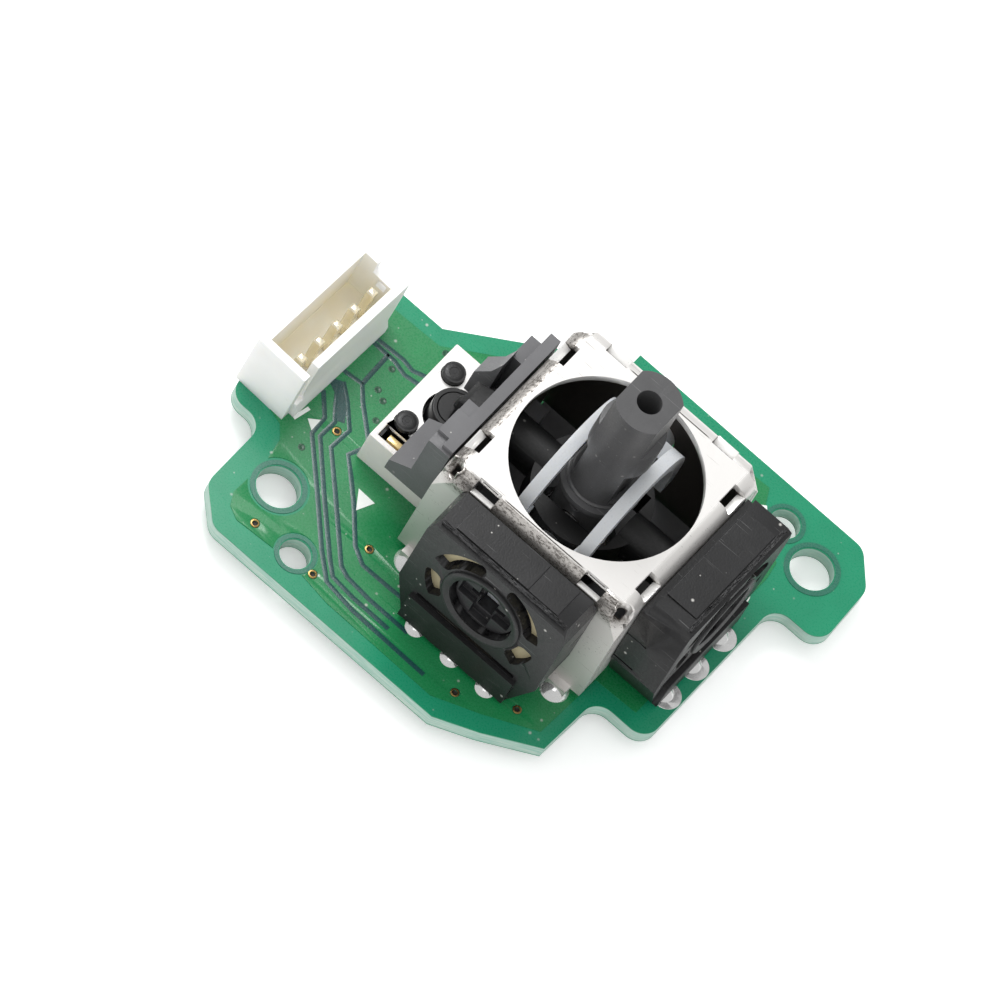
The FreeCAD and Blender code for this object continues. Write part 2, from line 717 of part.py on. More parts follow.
# Upper yoke: a slotted arch that turns about Y with the stick and turns the other wiper
def upper_yoke():
    p = "pivot_high"
    past = span("0", f"arch_wide + 2 * {OVER}")
    across = span("0", f"2 * ({ARCH_OUT} + {OVER})")
    band = cut("arch_band",
               rod("arch_out", "x", ARCH_OUT, ("-arch_wide / 2", "0", p), "arch_wide"),
               rod("arch_in", "x", ARCH_IN, (past[0], "0", p), f"arch_wide + 2 * {OVER}"),
               block("arch_below", past, across, ("0", f"{p} - arch_lug / 2")))
    reach = f"3 * {ARCH_OUT}"
    rise = f"{p} + {reach} * cos(arch_slot_angle)"
    slot = prism("arch_slot_way", "yz", [("0", p), (f"{reach} * sin(arch_slot_angle)", rise),
                                         (f"-{reach} * sin(arch_slot_angle)", rise)],
                 "-arch_slot / 2", "arch_slot")
    arm_long = f"frame_half - run_clear - {ARCH_IN} - {BITE}"
    near = rod("arch_near_arm", "y", "journal_r", ("0", "-frame_half + run_clear", p), arm_long)
    far = rod("arch_far_arm", "y", "journal_r", ("0", f"{ARCH_IN} + {BITE}", p), arm_long)
    key = block("arch_key", span("0", "tongue_thick"),
                ("-frame_half - tongue_reach", f"-frame_half + run_clear + {BITE}"), span(p, "tongue_high"))
    node("upper_yoke", cut("upper_yoke", fuse("arch_solid", band, near, far, key), slot))


# The stick: a stepped shaft with a keyed tip, flats where it passes the arch and a foot on the cross pin
def stick():
    p = "pivot_high"
    base = f"{p} + shaft_base"
    collar_low = f"{p} + collar_low"
    shaft = pillar("stick_shaft", "shaft_r", "0", "0", (base, "stick_top"))
    neck = shared("stick_neck", pillar("stick_neck_round", "shaft_r", "0", "0", (collar_low, base)),
                  block("stick_neck_flats", span("0", "arch_slot - 2 * neck_clear"),
                        span("0", f"2 * (shaft_r + {OVER})"), (collar_low, base)))
    collar = pillar("stick_collar", "collar_r", "0", "0", (collar_low, f"{collar_low} + collar_thick"))
    cone = pillar("stick_cone", "foot_r", "0", "0", (f"{p} + foot_rise", collar_low), "cone_top_r")
    foot = pillar("stick_foot", "foot_r", "0", "0", (f"{p} - foot_drop", f"{p} + foot_rise"))
    solid = fuse("stick_solid", shaft, neck, collar, cone, foot)
    above = f"stick_top + {OVER}"
    cuts = [pillar("stick_tip_hole", "tip_hole_r", "0", "0", ("stick_top - tip_hole_deep", above)),
            rod("stick_pin_bore", "y", "pin_r + run_clear", ("0", f"-foot_r - {OVER}", p),
                f"2 * (foot_r + {OVER})")]
    for side in SIGNS:
        cuts.append(block("stick_key_flat", span(f"{side} * (key_flat + shaft_r) / 2", "shaft_r"),
                          span("0", f"2 * (shaft_r + {OVER})"), ("stick_top - key_length", above)))
    node("stick", cut("stick", solid, *cuts))


# Spring under the stick's foot and the flanged seat it stands on
def spring():
    start = f"{SEAT_TOP} + wire_r"
    disc = pillar("seat_disc", "seat_r", "0", "0", ("floor_thick", SEAT_TOP))
    hub = pillar("seat_hub", "seat_hub_r", "0", "0", (SEAT_TOP, f"{SEAT_TOP} + seat_hub_high"))
    node("spring_seat", fuse("spring_seat", disc, hub))
    rise = f"(pivot_high - foot_drop - coil_gap - wire_r - ({start}))"
    helix = doc.addObject("Part::Helix", "spring_path")
    bind(helix, "Radius", "coil_r")
    bind(helix, "Height", rise)
    bind(helix, "Pitch", f"{rise} / coil_turns")
    helix.SegmentLength = COIL_PART
    place(helix, ("0", "0", start))
    wire = doc.addObject("Part::Circle", "spring_wire")
    bind(wire, "Radius", "wire_r")
    wire.Placement = FreeCAD.Placement(FreeCAD.Vector(), FreeCAD.Rotation(VECTORS["x"], 90))
    place(wire, ("coil_r", "0", start))
    coil = doc.addObject("Part::Sweep", "return_spring")
    coil.Sections = [wire]
    coil.Spine = (helix, [])
    coil.Solid = True
    coil.Frenet = True
    node("return_spring", coil)


# Moulded holder: a floor inside the frame, a bridge over the switch and a notched wall for the yoke's end
def holder():
    inner = "-frame_half - holder_gap"
    out = f"-{HOLDER_OUT}"
    switch_in = f"{SWITCH_X} + switch_wide / 2 + free_clear"
    across = span("0", f"2 * ({LEG_IN} - floor_gap)")
    floor_half = f"({TAB_ACROSS} - solder_r - floor_gap)"
    floor = block("holder_floor", (switch_in, floor_half), span("0", f"2 * {floor_half}"),
                  ("0", "floor_thick"))
    wall = block("holder_wall", (f"-{HOLDER_FACE}", inner), ("-holder_near", "holder_far"),
                 (HOLDER_LOW, "holder_high"))
    tab = block("holder_tab", (out, inner), ("-holder_tab_near", "holder_tab_long - holder_tab_near"),
                (HOLDER_LOW, "holder_high"))
    bridge = block("holder_bridge", (out, f"{switch_in} + post_thick"), across,
                   (HOLDER_LOW, f"{HOLDER_LOW} + bridge_thick"))
    post = block("holder_post", (switch_in, f"{switch_in} + post_thick"), across,
                 ("0", f"{HOLDER_LOW} + bridge_thick"))
    foot_top = f"{HOLDER_LOW} + foot_thick"
    foot_out = f"{out} - foot_out"
    foot = prism("holder_foot", "xz", [
        (foot_out, HOLDER_LOW), (inner, HOLDER_LOW), (inner, "holder_high - foot_below"),
        (out, "holder_high - foot_below"), (out, f"{foot_top} + foot_slope"), (foot_out, foot_top)],
        "-foot_near", "foot_near - holder_notch")
    brace_out = f"{out} - brace_out"
    brace = prism("holder_brace", "xz", [
        (brace_out, HOLDER_LOW), (out, HOLDER_LOW), (out, "holder_high - brace_below"),
        (f"{out} - brace_step", "brace_high + brace_out"), (brace_out, "brace_high")],
        "holder_notch", "brace_wide")
    end = block("holder_end", (f"{out} - end_out", inner), ("holder_far - end_long", "holder_far"),
                (HOLDER_LOW, "holder_high - end_below"))
    past = (f"{foot_out} - {OVER}", f"{inner} + {OVER}")
    notch = block("holder_notch_way", past, span("0", "2 * holder_notch"),
                  ("pivot_high", "pivot_high + holder_gate"))
    notch_round = rod("holder_notch_round", "x", "holder_notch", (past[0], "0", "pivot_high"),
                      f"({past[1]}) - ({past[0]})")
    stem_way = pillar("holder_stem_way", "stem_r + free_clear", SWITCH_X, "0", ("switch_high", "pivot_high"))
    solid = fuse("holder_solid", floor, wall, tab, bridge, post, foot, brace, end)
    node("base_holder", cut("base_holder", solid, notch, notch_round, stem_way))


# Push switch: a white case, a black insert with heat staked posts, a bright plate, dome, contact and stem
def push_switch():
    outer = (span(SWITCH_X, "switch_wide"), span("0", "switch_long"))
    hollow = (span(SWITCH_X, "switch_wide - 2 * switch_wall"), span("0", "switch_long - 2 * switch_wall"))
    filled = (span(SWITCH_X, "switch_wide - 2 * (switch_wall + run_clear)"),
              span("0", "switch_long - 2 * (switch_wall + run_clear)"))
    case = block("switch_case_block", *outer, ("0", "switch_high"))
    room = block("switch_hollow", *hollow, ("switch_floor", f"switch_high + {OVER}"))
    node("switch_case", cut("switch_case", case, room))
    pushed = ("switch_floor + contact_thick", f"switch_high + {OVER}")
    insert = block("insert_block", *filled, ("switch_floor", "switch_high"))
    well = pillar("insert_well", "stem_flange_r + well_gap", SWITCH_X, "0", pushed)
    bay = block("insert_bay", (f"{hollow[0][0]} + bay_wall", SWITCH_X),
                (f"{hollow[1][0]}", f"{hollow[1][0]} + bay_deep"), pushed)
    through_plate = ("switch_high", f"{PLATE_TOP} + {OVER}")
    posts = []
    holes = []
    for side in SIGNS:
        for end in SIGNS:
            spot = (f"{SWITCH_X} + {side} * post_x", f"{end} * post_y")
            posts.append(pillar("insert_post", "post_r", *spot, ("switch_floor", f"{PLATE_TOP} + post_high")))
            holes.append(pillar("plate_hole", "post_r + run_clear", *spot, through_plate))
    well_posts = cut("insert_body", insert, well, bay)
    node("switch_insert", fuse("switch_insert", well_posts, *posts))
    plate = block("switch_plate_block", span(SWITCH_X, "switch_wide - 2 * plate_inset"),
                  (f"{hollow[1][0]} + bay_deep - run_clear", "switch_long / 2 - plate_inset"),
                  ("switch_high", PLATE_TOP))
    bore = pillar("plate_bore", "stem_r + stem_bore_gap", SWITCH_X, "0", through_plate)
    node("switch_plate", cut("switch_plate", plate, bore, *holes))
    dome_low = "switch_floor + contact_thick"
    dome_top = f"{dome_low} + dome_high"
    dome = cut("switch_dome",
               pillar("dome_out", "dome_r", SWITCH_X, "0", (dome_low, dome_top), "dome_top_r"),
               pillar("dome_in", "dome_r - dome_thick", SWITCH_X, "0",
                      (dome_low, f"{dome_top} - dome_thick"), "dome_top_r - dome_thick"))
    node("switch_dome", dome)
    stem_low = "switch_high - stem_under"
    node("switch_stem", fuse("switch_stem",
                             pillar("stem_post", "stem_r", SWITCH_X, "0", (stem_low, "stem_top")),
                             pillar("stem_flange_disc", "stem_flange_r", SWITCH_X, "0",
                                    (stem_low, f"{stem_low} + stem_flange"))))
    blade_x = span(f"{SWITCH_X} - contact_off", "contact_wide")
    blade_y = f"{hollow[1][0]} + (bay_deep - contact_thick) / 2"
    blade_in = f"{blade_y} + contact_thick"
    node("switch_contact", fuse("switch_contact",
                                block("contact_blade", blade_x, (blade_y, blade_in),
                                      (dome_low, "switch_high - contact_sink")),
                                block("contact_foot", blade_x, (filled[1][0], blade_in),
                                      (dome_low, f"{dome_low} + contact_thick"))))
    leads = []
    bumps = []
    for number, end in enumerate(SIGNS, 1):
        mid = f"{end} * {SWITCH_LEAD_Y}"
        lead = block(f"switch_terminal_{number}", span(SWITCH_LEAD_X, "lead_wide"), span(mid, "lead_thick"),
                     ("-board_thick - lead_below", "0"))
        leads.append(node(f"switch_terminal_{number}", lead))
        # the case stands over the holes, so only the cores and the lower domes are there
        bumps += solder(pillar, SWITCH_LEAD_X, mid, "lead_wide")[1:]
    node("switch_solder", cut("switch_solder", fuse("switch_bumps", *bumps), *leads))


# Cable socket: a shrouded white header with five square pins
def socket():
    long, wide = f"{SOCKET_LONG} / 2", "socket_wide / 2"
    end, side = f"({long} - socket_wall)", f"({wide} - socket_wall)"
    open_top = f"socket_high + {OVER}"
    shell = block("socket_block", span("0", "socket_wide"), span("0", SOCKET_LONG), ("0", "socket_high"),
                  BOARD)
    room = block("socket_room", span("0", f"2 * {side}"), span("0", f"2 * {end}"),
                 ("socket_floor", open_top), BOARD)
    end_wall = (f"{end} - {BITE}", f"{long} + {OVER}")
    notch = block("socket_end_notch", (f"{side} - socket_notch", side), end_wall,
                  ("socket_high - socket_notch_deep", open_top), BOARD)
    eye = block("socket_end_eye", span("socket_eye_x", "socket_eye"), end_wall,
                ("socket_eye_low", "socket_eye_low + socket_eye"), BOARD)
    key = block("socket_key_slot", (f"{side} - {BITE}", f"{wide} + {OVER}"),
                (f"-{end}", f"-{end} + socket_key"), ("socket_floor", open_top), BOARD)
    ledge = prism("socket_ledge", "xz", [
        (side, "0"), (f"{wide} + socket_ledge_out", "0"), (f"{wide} + socket_ledge_out", "socket_ledge_low"),
        (wide, "socket_ledge_high"), (side, "socket_ledge_high")],
        f"-({long}) + socket_ledge_in", f"{SOCKET_LONG} - 2 * socket_ledge_in", BOARD)
    pins = []
    ways = []
    for number in range(int(value("socket_pins"))):
        x, y = span("socket_pin_off", "socket_pin"), span(pin_step(number), "socket_pin")
        ways.append(block("socket_pin_way", x, y, (f"-{OVER}", "socket_high"), BOARD))
        pin = block(f"socket_pin_{number + 1}_bar", x, y,
                    ("-board_thick - lead_below", "socket_high - socket_pin_sink"), BOARD)
        pins.append(round_edges(f"socket_pin_{number + 1}", pin, value("lead_hole_clear"),
                                lambda edge: edge.BoundBox.ZLength < 0.01, "Part::Chamfer"))
    housing = cut("socket_housing", fuse("socket_shell", shell, ledge), room, notch, eye, key, *ways)
    on_board(node("socket_housing", housing))
    bumps = []
    for number, (x, y) in enumerate(socket_spots()):
        on_board(node(f"socket_pin_{number + 1}", pins[number]))
        # the housing covers the upper domes, so only the cores and the lower ones are there
        bumps += solder(pillar, x, y, "socket_pin * 1.42", "socket_solder_r")[1:]
    node("socket_solder", cut("socket_solder", fuse("socket_bumps", *bumps), *pins))


def on_board(item):
    item.Placement = FreeCAD.Placement(FreeCAD.Vector(), FreeCAD.Rotation(VECTORS["z"], value("socket_turn")))
    place(item, ("socket_x", "socket_y", "board_thick"), BOARD)
    bind(item, "Placement.Rotation.Angle", "socket_turn")


board()
frame()
potentiometer("x")
potentiometer("y")
frame_solder()
lower_yoke()
upper_yoke()
stick()
spring()
holder()
push_switch()
socket()
doc.recompute()

broken = [item.Name for item in doc.Objects if set(item.State) & {"Invalid", "Error"}]
for name, item in parts:
    if item.Shape.isNull() or not item.Shape.isValid() or not item.Shape.Solids:
        broken.append(name)
if broken:
    raise RuntimeError("these objects did not build: " + ", ".join(broken))
os.makedirs("parts", exist_ok=True)
for name, item in parts:
    item.Shape.exportStep(f"parts/{name}.step")
    print(f"{name:24s} solids {len(item.Shape.Solids)} volume {item.Shape.Volume:9.3f}")
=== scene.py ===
import json
import math
import bpy
from mathutils import Matrix, Vector


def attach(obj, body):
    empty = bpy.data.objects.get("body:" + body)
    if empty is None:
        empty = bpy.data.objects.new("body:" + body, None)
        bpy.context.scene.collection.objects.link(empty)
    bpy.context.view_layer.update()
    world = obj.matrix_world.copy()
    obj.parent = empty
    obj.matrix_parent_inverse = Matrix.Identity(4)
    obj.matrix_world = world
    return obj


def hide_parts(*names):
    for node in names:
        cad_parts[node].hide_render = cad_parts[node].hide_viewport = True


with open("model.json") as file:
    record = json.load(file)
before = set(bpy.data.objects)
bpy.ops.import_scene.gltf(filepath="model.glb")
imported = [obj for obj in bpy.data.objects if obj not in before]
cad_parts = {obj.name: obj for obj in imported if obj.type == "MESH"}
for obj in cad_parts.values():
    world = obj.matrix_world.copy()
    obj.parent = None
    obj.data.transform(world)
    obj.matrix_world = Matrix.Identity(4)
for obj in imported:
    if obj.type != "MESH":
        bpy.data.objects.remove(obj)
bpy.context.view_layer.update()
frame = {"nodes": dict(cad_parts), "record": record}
nodes = frame["nodes"]
body_of = {n: body for body, members in frame["record"]["behaviour"]["bodies"].items() for n in members}
slot_of = {row["node"]: row["material_slot"] for row in frame["record"]["subparts"]}

# Pieces are modelled in millimetres from the stick's axis at the board's top,
# and brought to metres when they are finished
MM = 0.001
BOARD_THICK = 1.0
HOME = Vector((1.14, -0.45, BOARD_THICK))
PIVOT = 6.0

# Frame: half its width, its flat top, the places of its slots and corner holes, and its soldered tabs
FRAME_HALF = 6.5
FRAME_TOP = 9.7
FRAME_BEND = FRAME_HALF - 0.95
SLOT_BACK = 5.55
SLOT_SIDES = (3.04, 4.54)
SLOT_MIDDLE = sum(SLOT_SIDES) / 2
CORNER_HOLE = 6.0
TAB_X, TAB_Y = 5.2, 6.8

# Potentiometers: their outer face, the cover's top, the lead pitch and line, and the radii of the windows
POT_OUT = 9.6
POT_TOP = PIVOT + 3.9
LEAD_PITCH = 2.5
LEAD_LINE = 9.62
WINDOW_INNER, WINDOW_OUTER = 2.78, 3.78
WINDOWS = ((45, 62), (135, 62), (-21, 36), (201, 36))

# Arch and yoke
ARCH_HALF = 1.725
ARCH_SLOT_END = 63
YOKE_NOSE_HALF = 0.875

# Push switch: its middle, and the places of its four posts
SWITCH_X = -8.75
POST_X, POST_Y, POST_Z = 1.5, 2.13, 2.95

SOCKET = Vector((-17.06, -0.75, 0.0))
SOCKET_TURN = math.radians(-2.5)
SOCKET_INSIDE = (1.18, 3.98)

# Where two points or edges count as the same place
NEAR = 0.02


# Shader helpers
def add(tree, kind, inputs=None, **settings):
    item = tree.nodes.new(kind)
    for key, setting in settings.items():
        setattr(item, key, setting)
    for key, source in (inputs or {}).items():
        feed(tree, source, item.inputs[key])
    return item


def feed(tree, source, socket):
    if isinstance(source, bpy.types.NodeSocket):
        tree.links.new(source, socket)
    else:
        socket.default_value = source


def maths(tree, operation, a, b=0.0, c=0.0):
    return add(tree, "ShaderNodeMath", {0: a, 1: b, 2: c}, operation=operation).outputs[0]


def mixed(tree, share, a, b):
    item = add(tree, "ShaderNodeMix", data_type="RGBA")
    for number, source in ((0, share), (6, a), (7, b)):
        feed(tree, source, item.inputs[number])
    return item.outputs[2]


def ramp(tree, source, low, high, out_low=0.0, out_high=1.0):
    ends = {"Value": source, "From Min": low, "From Max": high, "To Min": out_low, "To Max": out_high}
    return add(tree, "ShaderNodeMapRange", ends, clamp=True).outputs[0]


def noise(tree, where, scale, detail=3.0, rough=0.5):
    inputs = {"Vector": where, "Scale": scale, "Detail": detail, "Roughness": rough}
    return add(tree, "ShaderNodeTexNoise", inputs).outputs["Fac"]


def turned_to(tree, where, turn=(0, 0, 0), stretch=(1, 1, 1)):
    return add(tree, "ShaderNodeMapping", {"Vector": where, "Rotation": turn, "Scale": stretch}).outputs[0]


def new_group(name, inputs, outputs):
    group = bpy.data.node_groups.new(name, "ShaderNodeTree")
    for word, kind, default in inputs:
        group.interface.new_socket(name=word, in_out="INPUT", socket_type=kind).default_value = default
    for word, kind in outputs:
        group.interface.new_socket(name=word, in_out="OUTPUT", socket_type=kind)
    return group, group.nodes.new("NodeGroupInput").outputs, group.nodes.new("NodeGroupOutput").inputs


def use(tree, group, inputs):
    item = tree.nodes.new("ShaderNodeGroup")
    item.node_tree = group
    for key, source in inputs.items():
        feed(tree, source, item.inputs[key])
    return item.outputs


def rgb(red, green, blue):
    parts = [part / 255 for part in (red, green, blue)]
    return tuple(p / 12.92 if p <= 0.04045 else ((p + 0.055) / 1.055) ** 2.4 for p in parts) + (1.0,)


FLOAT, COLOUR, VECTOR = "NodeSocketFloat", "NodeSocketColor", "NodeSocketVector"
DUST = rgb(205, 203, 198)
SCRATCH = rgb(150, 150, 150)


# Moulded grain: fine pits and slow unevenness, for every moulded plastic
def moulded_group():
    inputs = [("Vector", VECTOR, (0, 0, 0)), ("Colour", COLOUR, (1, 1, 1, 1)), ("Variation", FLOAT, 0.1),
              ("Rough", FLOAT, 0.5)]
    tree, given, out = new_group("moulded_surface", inputs,
                                 [("Colour", COLOUR), ("Rough", FLOAT), ("Height", FLOAT)])
    slow = noise(tree, given["Vector"], 420.0, 4.0, 0.6)
    fine = noise(tree, given["Vector"], 9000.0, 2.0, 0.6)
    shade = maths(tree, "MULTIPLY_ADD", ramp(tree, slow, 0.3, 0.7, -1.0, 1.0), given["Variation"], 1.0)
    tinted = add(tree, "ShaderNodeVectorMath", {0: given["Colour"]}, operation="SCALE")
    tree.links.new(shade, tinted.inputs["Scale"])
    tree.links.new(tinted.outputs[0], out["Colour"])
    tree.links.new(maths(tree, "ADD", ramp(tree, fine, 0.3, 0.7, -0.08, 0.08), given["Rough"]), out["Rough"])
    tree.links.new(maths(tree, "MULTIPLY_ADD", slow, 0.6, fine), out["Height"])
    return tree


# Straight hairline scratches and specks of dust as two masks
def wear_group():
    inputs = [("Vector", VECTOR, (0, 0, 0)), ("Scratches", FLOAT, 0.5), ("Dust", FLOAT, 0.5)]
    tree, given, out = new_group("handling_wear", inputs, [("Scratches", FLOAT), ("Dust", FLOAT)])
    total = None
    for number, turn in enumerate((0.4, 1.3, 2.2, 2.9)):
        along = turned_to(tree, given["Vector"], (0.0, 0.0, turn), (1.0, 45.0, 45.0))
        line = ramp(tree, noise(tree, along, 330.0 + 60.0 * number, 0.0), 0.83, 0.87)
        total = line if total is None else maths(tree, "MAXIMUM", total, line)
    tree.links.new(maths(tree, "MULTIPLY", total, given["Scratches"]), out["Scratches"])
    speck = None
    for scale, share in ((1700.0, 0.93), (3300.0, 0.95)):
        cells = add(tree, "ShaderNodeTexVoronoi", {"Vector": given["Vector"], "Scale": scale})
        near = ramp(tree, cells.outputs["Distance"], 0.06, 0.2, 1.0, 0.0)
        chosen = add(tree, "ShaderNodeSeparateColor", {"Color": cells.outputs["Color"]}).outputs[0]
        dot = maths(tree, "MULTIPLY", near, ramp(tree, chosen, share, share + 0.01))
        speck = dot if speck is None else maths(tree, "MAXIMUM", speck, dot)
    tree.links.new(maths(tree, "MULTIPLY", speck, given["Dust"]), out["Dust"])
    return tree


# Mottled plating and painted dark reflections: dark pits and cloudy bands as one mask
def mottle_group():
    inputs = [("Vector", VECTOR, (0, 0, 0)), ("Amount", FLOAT, 0.5)]
    tree, given, out = new_group("plating_pits_and_reflection", inputs, [("Mask", FLOAT)])
    pits = noise(tree, given["Vector"], 5200.0, 3.0, 0.75)
    cloud = noise(tree, given["Vector"], 900.0, 3.0, 0.6)
    edge = maths(tree, "MULTIPLY_ADD", given["Amount"], -0.34, 0.98)
    mask = maths(tree, "SUBTRACT", maths(tree, "MULTIPLY_ADD", cloud, 0.35, pits), edge)
    tree.links.new(ramp(tree, mask, 0.0, 0.12), out["Mask"])
    return tree


MOULDED = moulded_group()
WEAR = wear_group()
MOTTLE = mottle_group()


def new_material(name, **settings):
    material = bpy.data.materials.new(name)
    material.use_nodes = True
    tree = material.node_tree
    shader = tree.nodes["Principled BSDF"]
    for word, setting in settings.items():
        shader.inputs[word.replace("_", " ")].default_value = setting
    return material, tree, shader, add(tree, "ShaderNodeTexCoord").outputs["Object"]


def bump(tree, shader, height, distance):
    item = add(tree, "ShaderNodeBump", {"Height": height, "Distance": distance, "Strength": 1.0})
    tree.links.new(item.outputs[0], shader.inputs["Normal"])


def worn(tree, where, tint, scratches, dust):
    marks = use(tree, WEAR, {"Vector": where, "Scratches": scratches, "Dust": dust})
    return mixed(tree, marks["Dust"], mixed(tree, marks["Scratches"], tint, SCRATCH), DUST)


def plastic(name, colour, rough=0.5, variation=0.08, grain=0.000006, dust=0.0, scratches=0.0, **settings):
    material, tree, shader, where = new_material(name, **settings)
    skin = use(tree, MOULDED, {"Vector": where, "Colour": colour, "Variation": variation, "Rough": rough})
    tint = skin["Colour"]
    if dust or scratches:
        tint = worn(tree, where, tint, scratches, dust)
    tree.links.new(tint, shader.inputs["Base Color"])
    tree.links.new(skin["Rough"], shader.inputs["Roughness"])
    bump(tree, shader, skin["Height"], grain)
    return material


def metal(name, colour, rough=0.25, amount=0.2, stretch=(1, 1, 1), share=1.0):
    material, tree, shader, where = new_material(name, Metallic=share)
    along = turned_to(tree, where, stretch=stretch)
    dark = tuple(0.4 * part for part in colour[:3]) + (1.0,)
    mask = use(tree, MOTTLE, {"Vector": along, "Amount": amount})["Mask"]
    tree.links.new(mixed(tree, mask, colour, dark), shader.inputs["Base Color"])
    tree.links.new(ramp(tree, mask, 0.0, 1.0, rough, min(1.0, rough * 1.7)), shader.inputs["Roughness"])
    bump(tree, shader, noise(tree, along, 1600.0, 3.0), 0.000004)
    return material


# Place of a point beside the stick's axis, in metres from the row's origin, as shader values
def beside(tree, where):
    spot = add(tree, "ShaderNodeSeparateXYZ", {0: where}).outputs
    across = [maths(tree, "ABSOLUTE", maths(tree, "SUBTRACT", spot[i], HOME[i] * MM)) for i in (0, 1)]
    return across, spot[2]


# The frame's flat top is almost white. Its bends are painted a darker grey as a reflection, strongest on the
# -X and -Y sides, and its bends and walls are mottled with pits and painted dark reflections. Painted shade
# darkens its inside below the top, and a painted dark line of shade runs along the fold by the opening
def frame_look():
    material, tree, shader, where = new_material("bright_plated_frame", Metallic=1.0)
    across, high = beside(tree, where)
    reach = maths(tree, "MAXIMUM", *across)
    turn = FRAME_BEND * MM
    outer = ramp(tree, reach, turn, turn + 0.25 * MM)
    spot = add(tree, "ShaderNodeSeparateXYZ", {0: where}).outputs
    back = [maths(tree, "SUBTRACT", HOME[i] * MM, spot[i]) for i in (0, 1)]
    near = ramp(tree, maths(tree, "MAXIMUM", *back), turn, turn + 0.25 * MM, 0.3, 1.0)

    # A value that changes between two depths below the frame's top
    def below_top(low, top, *ends):
        crown = HOME.z + FRAME_TOP
        return ramp(tree, high, (crown - low) * MM, (crown - top) * MM, *ends)
    level = below_top(1.6, 1.0, 0.4, 1.0)
    # Mask of the bends, fullest on the -X and -Y sides and towards the top, which sets where the painted
    # reflection and mottle go
    bent = maths(tree, "MULTIPLY", maths(tree, "MULTIPLY", outer, near), level)
    amount = maths(tree, "MULTIPLY_ADD", bent, 0.86, 0.1)
    # Pits and painted dark reflections, as mottle stretched along each side
    pits_and_reflection = []
    for stretch in ((2.0, 0.9, 2.0), (0.9, 2.0, 2.0)):
        along = turned_to(tree, where, stretch=stretch)
        pits_and_reflection.append(use(tree, MOTTLE, {"Vector": along, "Amount": amount})["Mask"])
    side = ramp(tree, maths(tree, "SUBTRACT", *across), -0.1 * MM, 0.1 * MM)
    mask = mixed(tree, side, pits_and_reflection[1], pits_and_reflection[0])
    # Painted reflection: the bends are a darker grey than the top
    body = mixed(tree, maths(tree, "MULTIPLY", bent, 0.9), rgb(252, 250, 247), rgb(176, 172, 167))
    tint = mixed(tree, maths(tree, "MULTIPLY", mask, 0.8), body, rgb(84, 79, 75))
    # Painted shade: darker inside the frame below its top
    within = ramp(tree, reach, (FRAME_HALF - 0.48) * MM, (FRAME_HALF - 0.38) * MM, 1.0, 0.0)
    inside = maths(tree, "MULTIPLY", within, below_top(0.55, 0.45, 1.0, 0.0))
    tint = mixed(tree, maths(tree, "MULTIPLY", inside, 0.9), tint, rgb(70, 62, 56))
    marks = use(tree, WEAR, {"Vector": where, "Scratches": 0.75, "Dust": 0.0})
    tint = mixed(tree, marks["Scratches"], tint, rgb(120, 112, 104))
    # Painted shade: a thin dark line along the fold by the opening
    off_line = maths(tree, "ABSOLUTE", maths(tree, "SUBTRACT", across[1], turn + 0.1 * MM))
    line = ramp(tree, off_line, 0.02 * MM, 0.05 * MM, 1.0, 0.0)
    short = ramp(tree, across[0], 2.6 * MM, 2.9 * MM, 1.0, 0.0)
    crease_shade = maths(tree, "MULTIPLY", maths(tree, "MULTIPLY", line, short), below_top(0.1, 0.05))
    tree.links.new(mixed(tree, crease_shade, tint, rgb(60, 55, 50)), shader.inputs["Base Color"])
    upright = maths(tree, "MULTIPLY", outer, below_top(1.4, 0.8, 1.0, 0.0))
    bare = ramp(tree, maths(tree, "MAXIMUM", bent, upright), 0.0, 1.0, 0.4, 0.88)
    tree.links.new(bare, shader.inputs["Metallic"])
    wall = below_top(2.0, 1.0, 0.42, 0.24)
    rough = maths(tree, "MULTIPLY_ADD", mask, 0.25, maths(tree, "MULTIPLY_ADD", outer, 0.14, wall))
    tree.links.new(rough, shader.inputs["Roughness"])
    bump(tree, shader, maths(tree, "MULTIPLY_ADD", noise(tree, where, 2600.0, 3.0, 0.7), 0.7,
                             noise(tree, where, 500.0, 2.0)), 0.00001)
    return material


# Bare laminate at the board's cut edges, green mask on its two faces
def board_look():
    material, tree, shader, where = new_material("board_green", Coat_Weight=0.25, Coat_Roughness=0.12)
    shader.inputs["Specular IOR Level"].default_value = 0.4
    skin = use(tree, MOULDED, {"Vector": where, "Colour": rgb(26, 140, 102), "Variation": 0.06, "Rough": 0.3})
    high = add(tree, "ShaderNodeSeparateXYZ", {0: where}).outputs[2]
    middle = maths(tree, "ABSOLUTE", maths(tree, "SUBTRACT", high, 0.5 * BOARD_THICK * MM))
    edge = ramp(tree, middle, 0.40 * MM, 0.46 * MM, 1.0, 0.0)
    plies = noise(tree, turned_to(tree, where, stretch=(1.0, 1.0, 22.0)), 700.0, 3.0, 0.6)
    cut = mixed(tree, ramp(tree, plies, 0.35, 0.65), rgb(150, 196, 180), rgb(196, 216, 204))
    marks = use(tree, WEAR, {"Vector": where, "Scratches": 0.15, "Dust": 0.7})
    face = mixed(tree, marks["Dust"], skin["Colour"], DUST)
    tree.links.new(mixed(tree, edge, face, cut), shader.inputs["Base Color"])
    tree.links.new(maths(tree, "MULTIPLY_ADD", edge, 0.4, skin["Rough"]), shader.inputs["Roughness"])
    bump(tree, shader, maths(tree, "MULTIPLY_ADD", maths(tree, "MULTIPLY", edge, plies), 4.0,
                             noise(tree, where, 1100.0, 1.0)), 0.000006)
    return material


def mask_look(name, colour):
    return plastic(name, colour, 0.28, 0.07, 0.000005, dust=0.7, scratches=0.1, Coat_Weight=0.25,
                   Coat_Roughness=0.12)


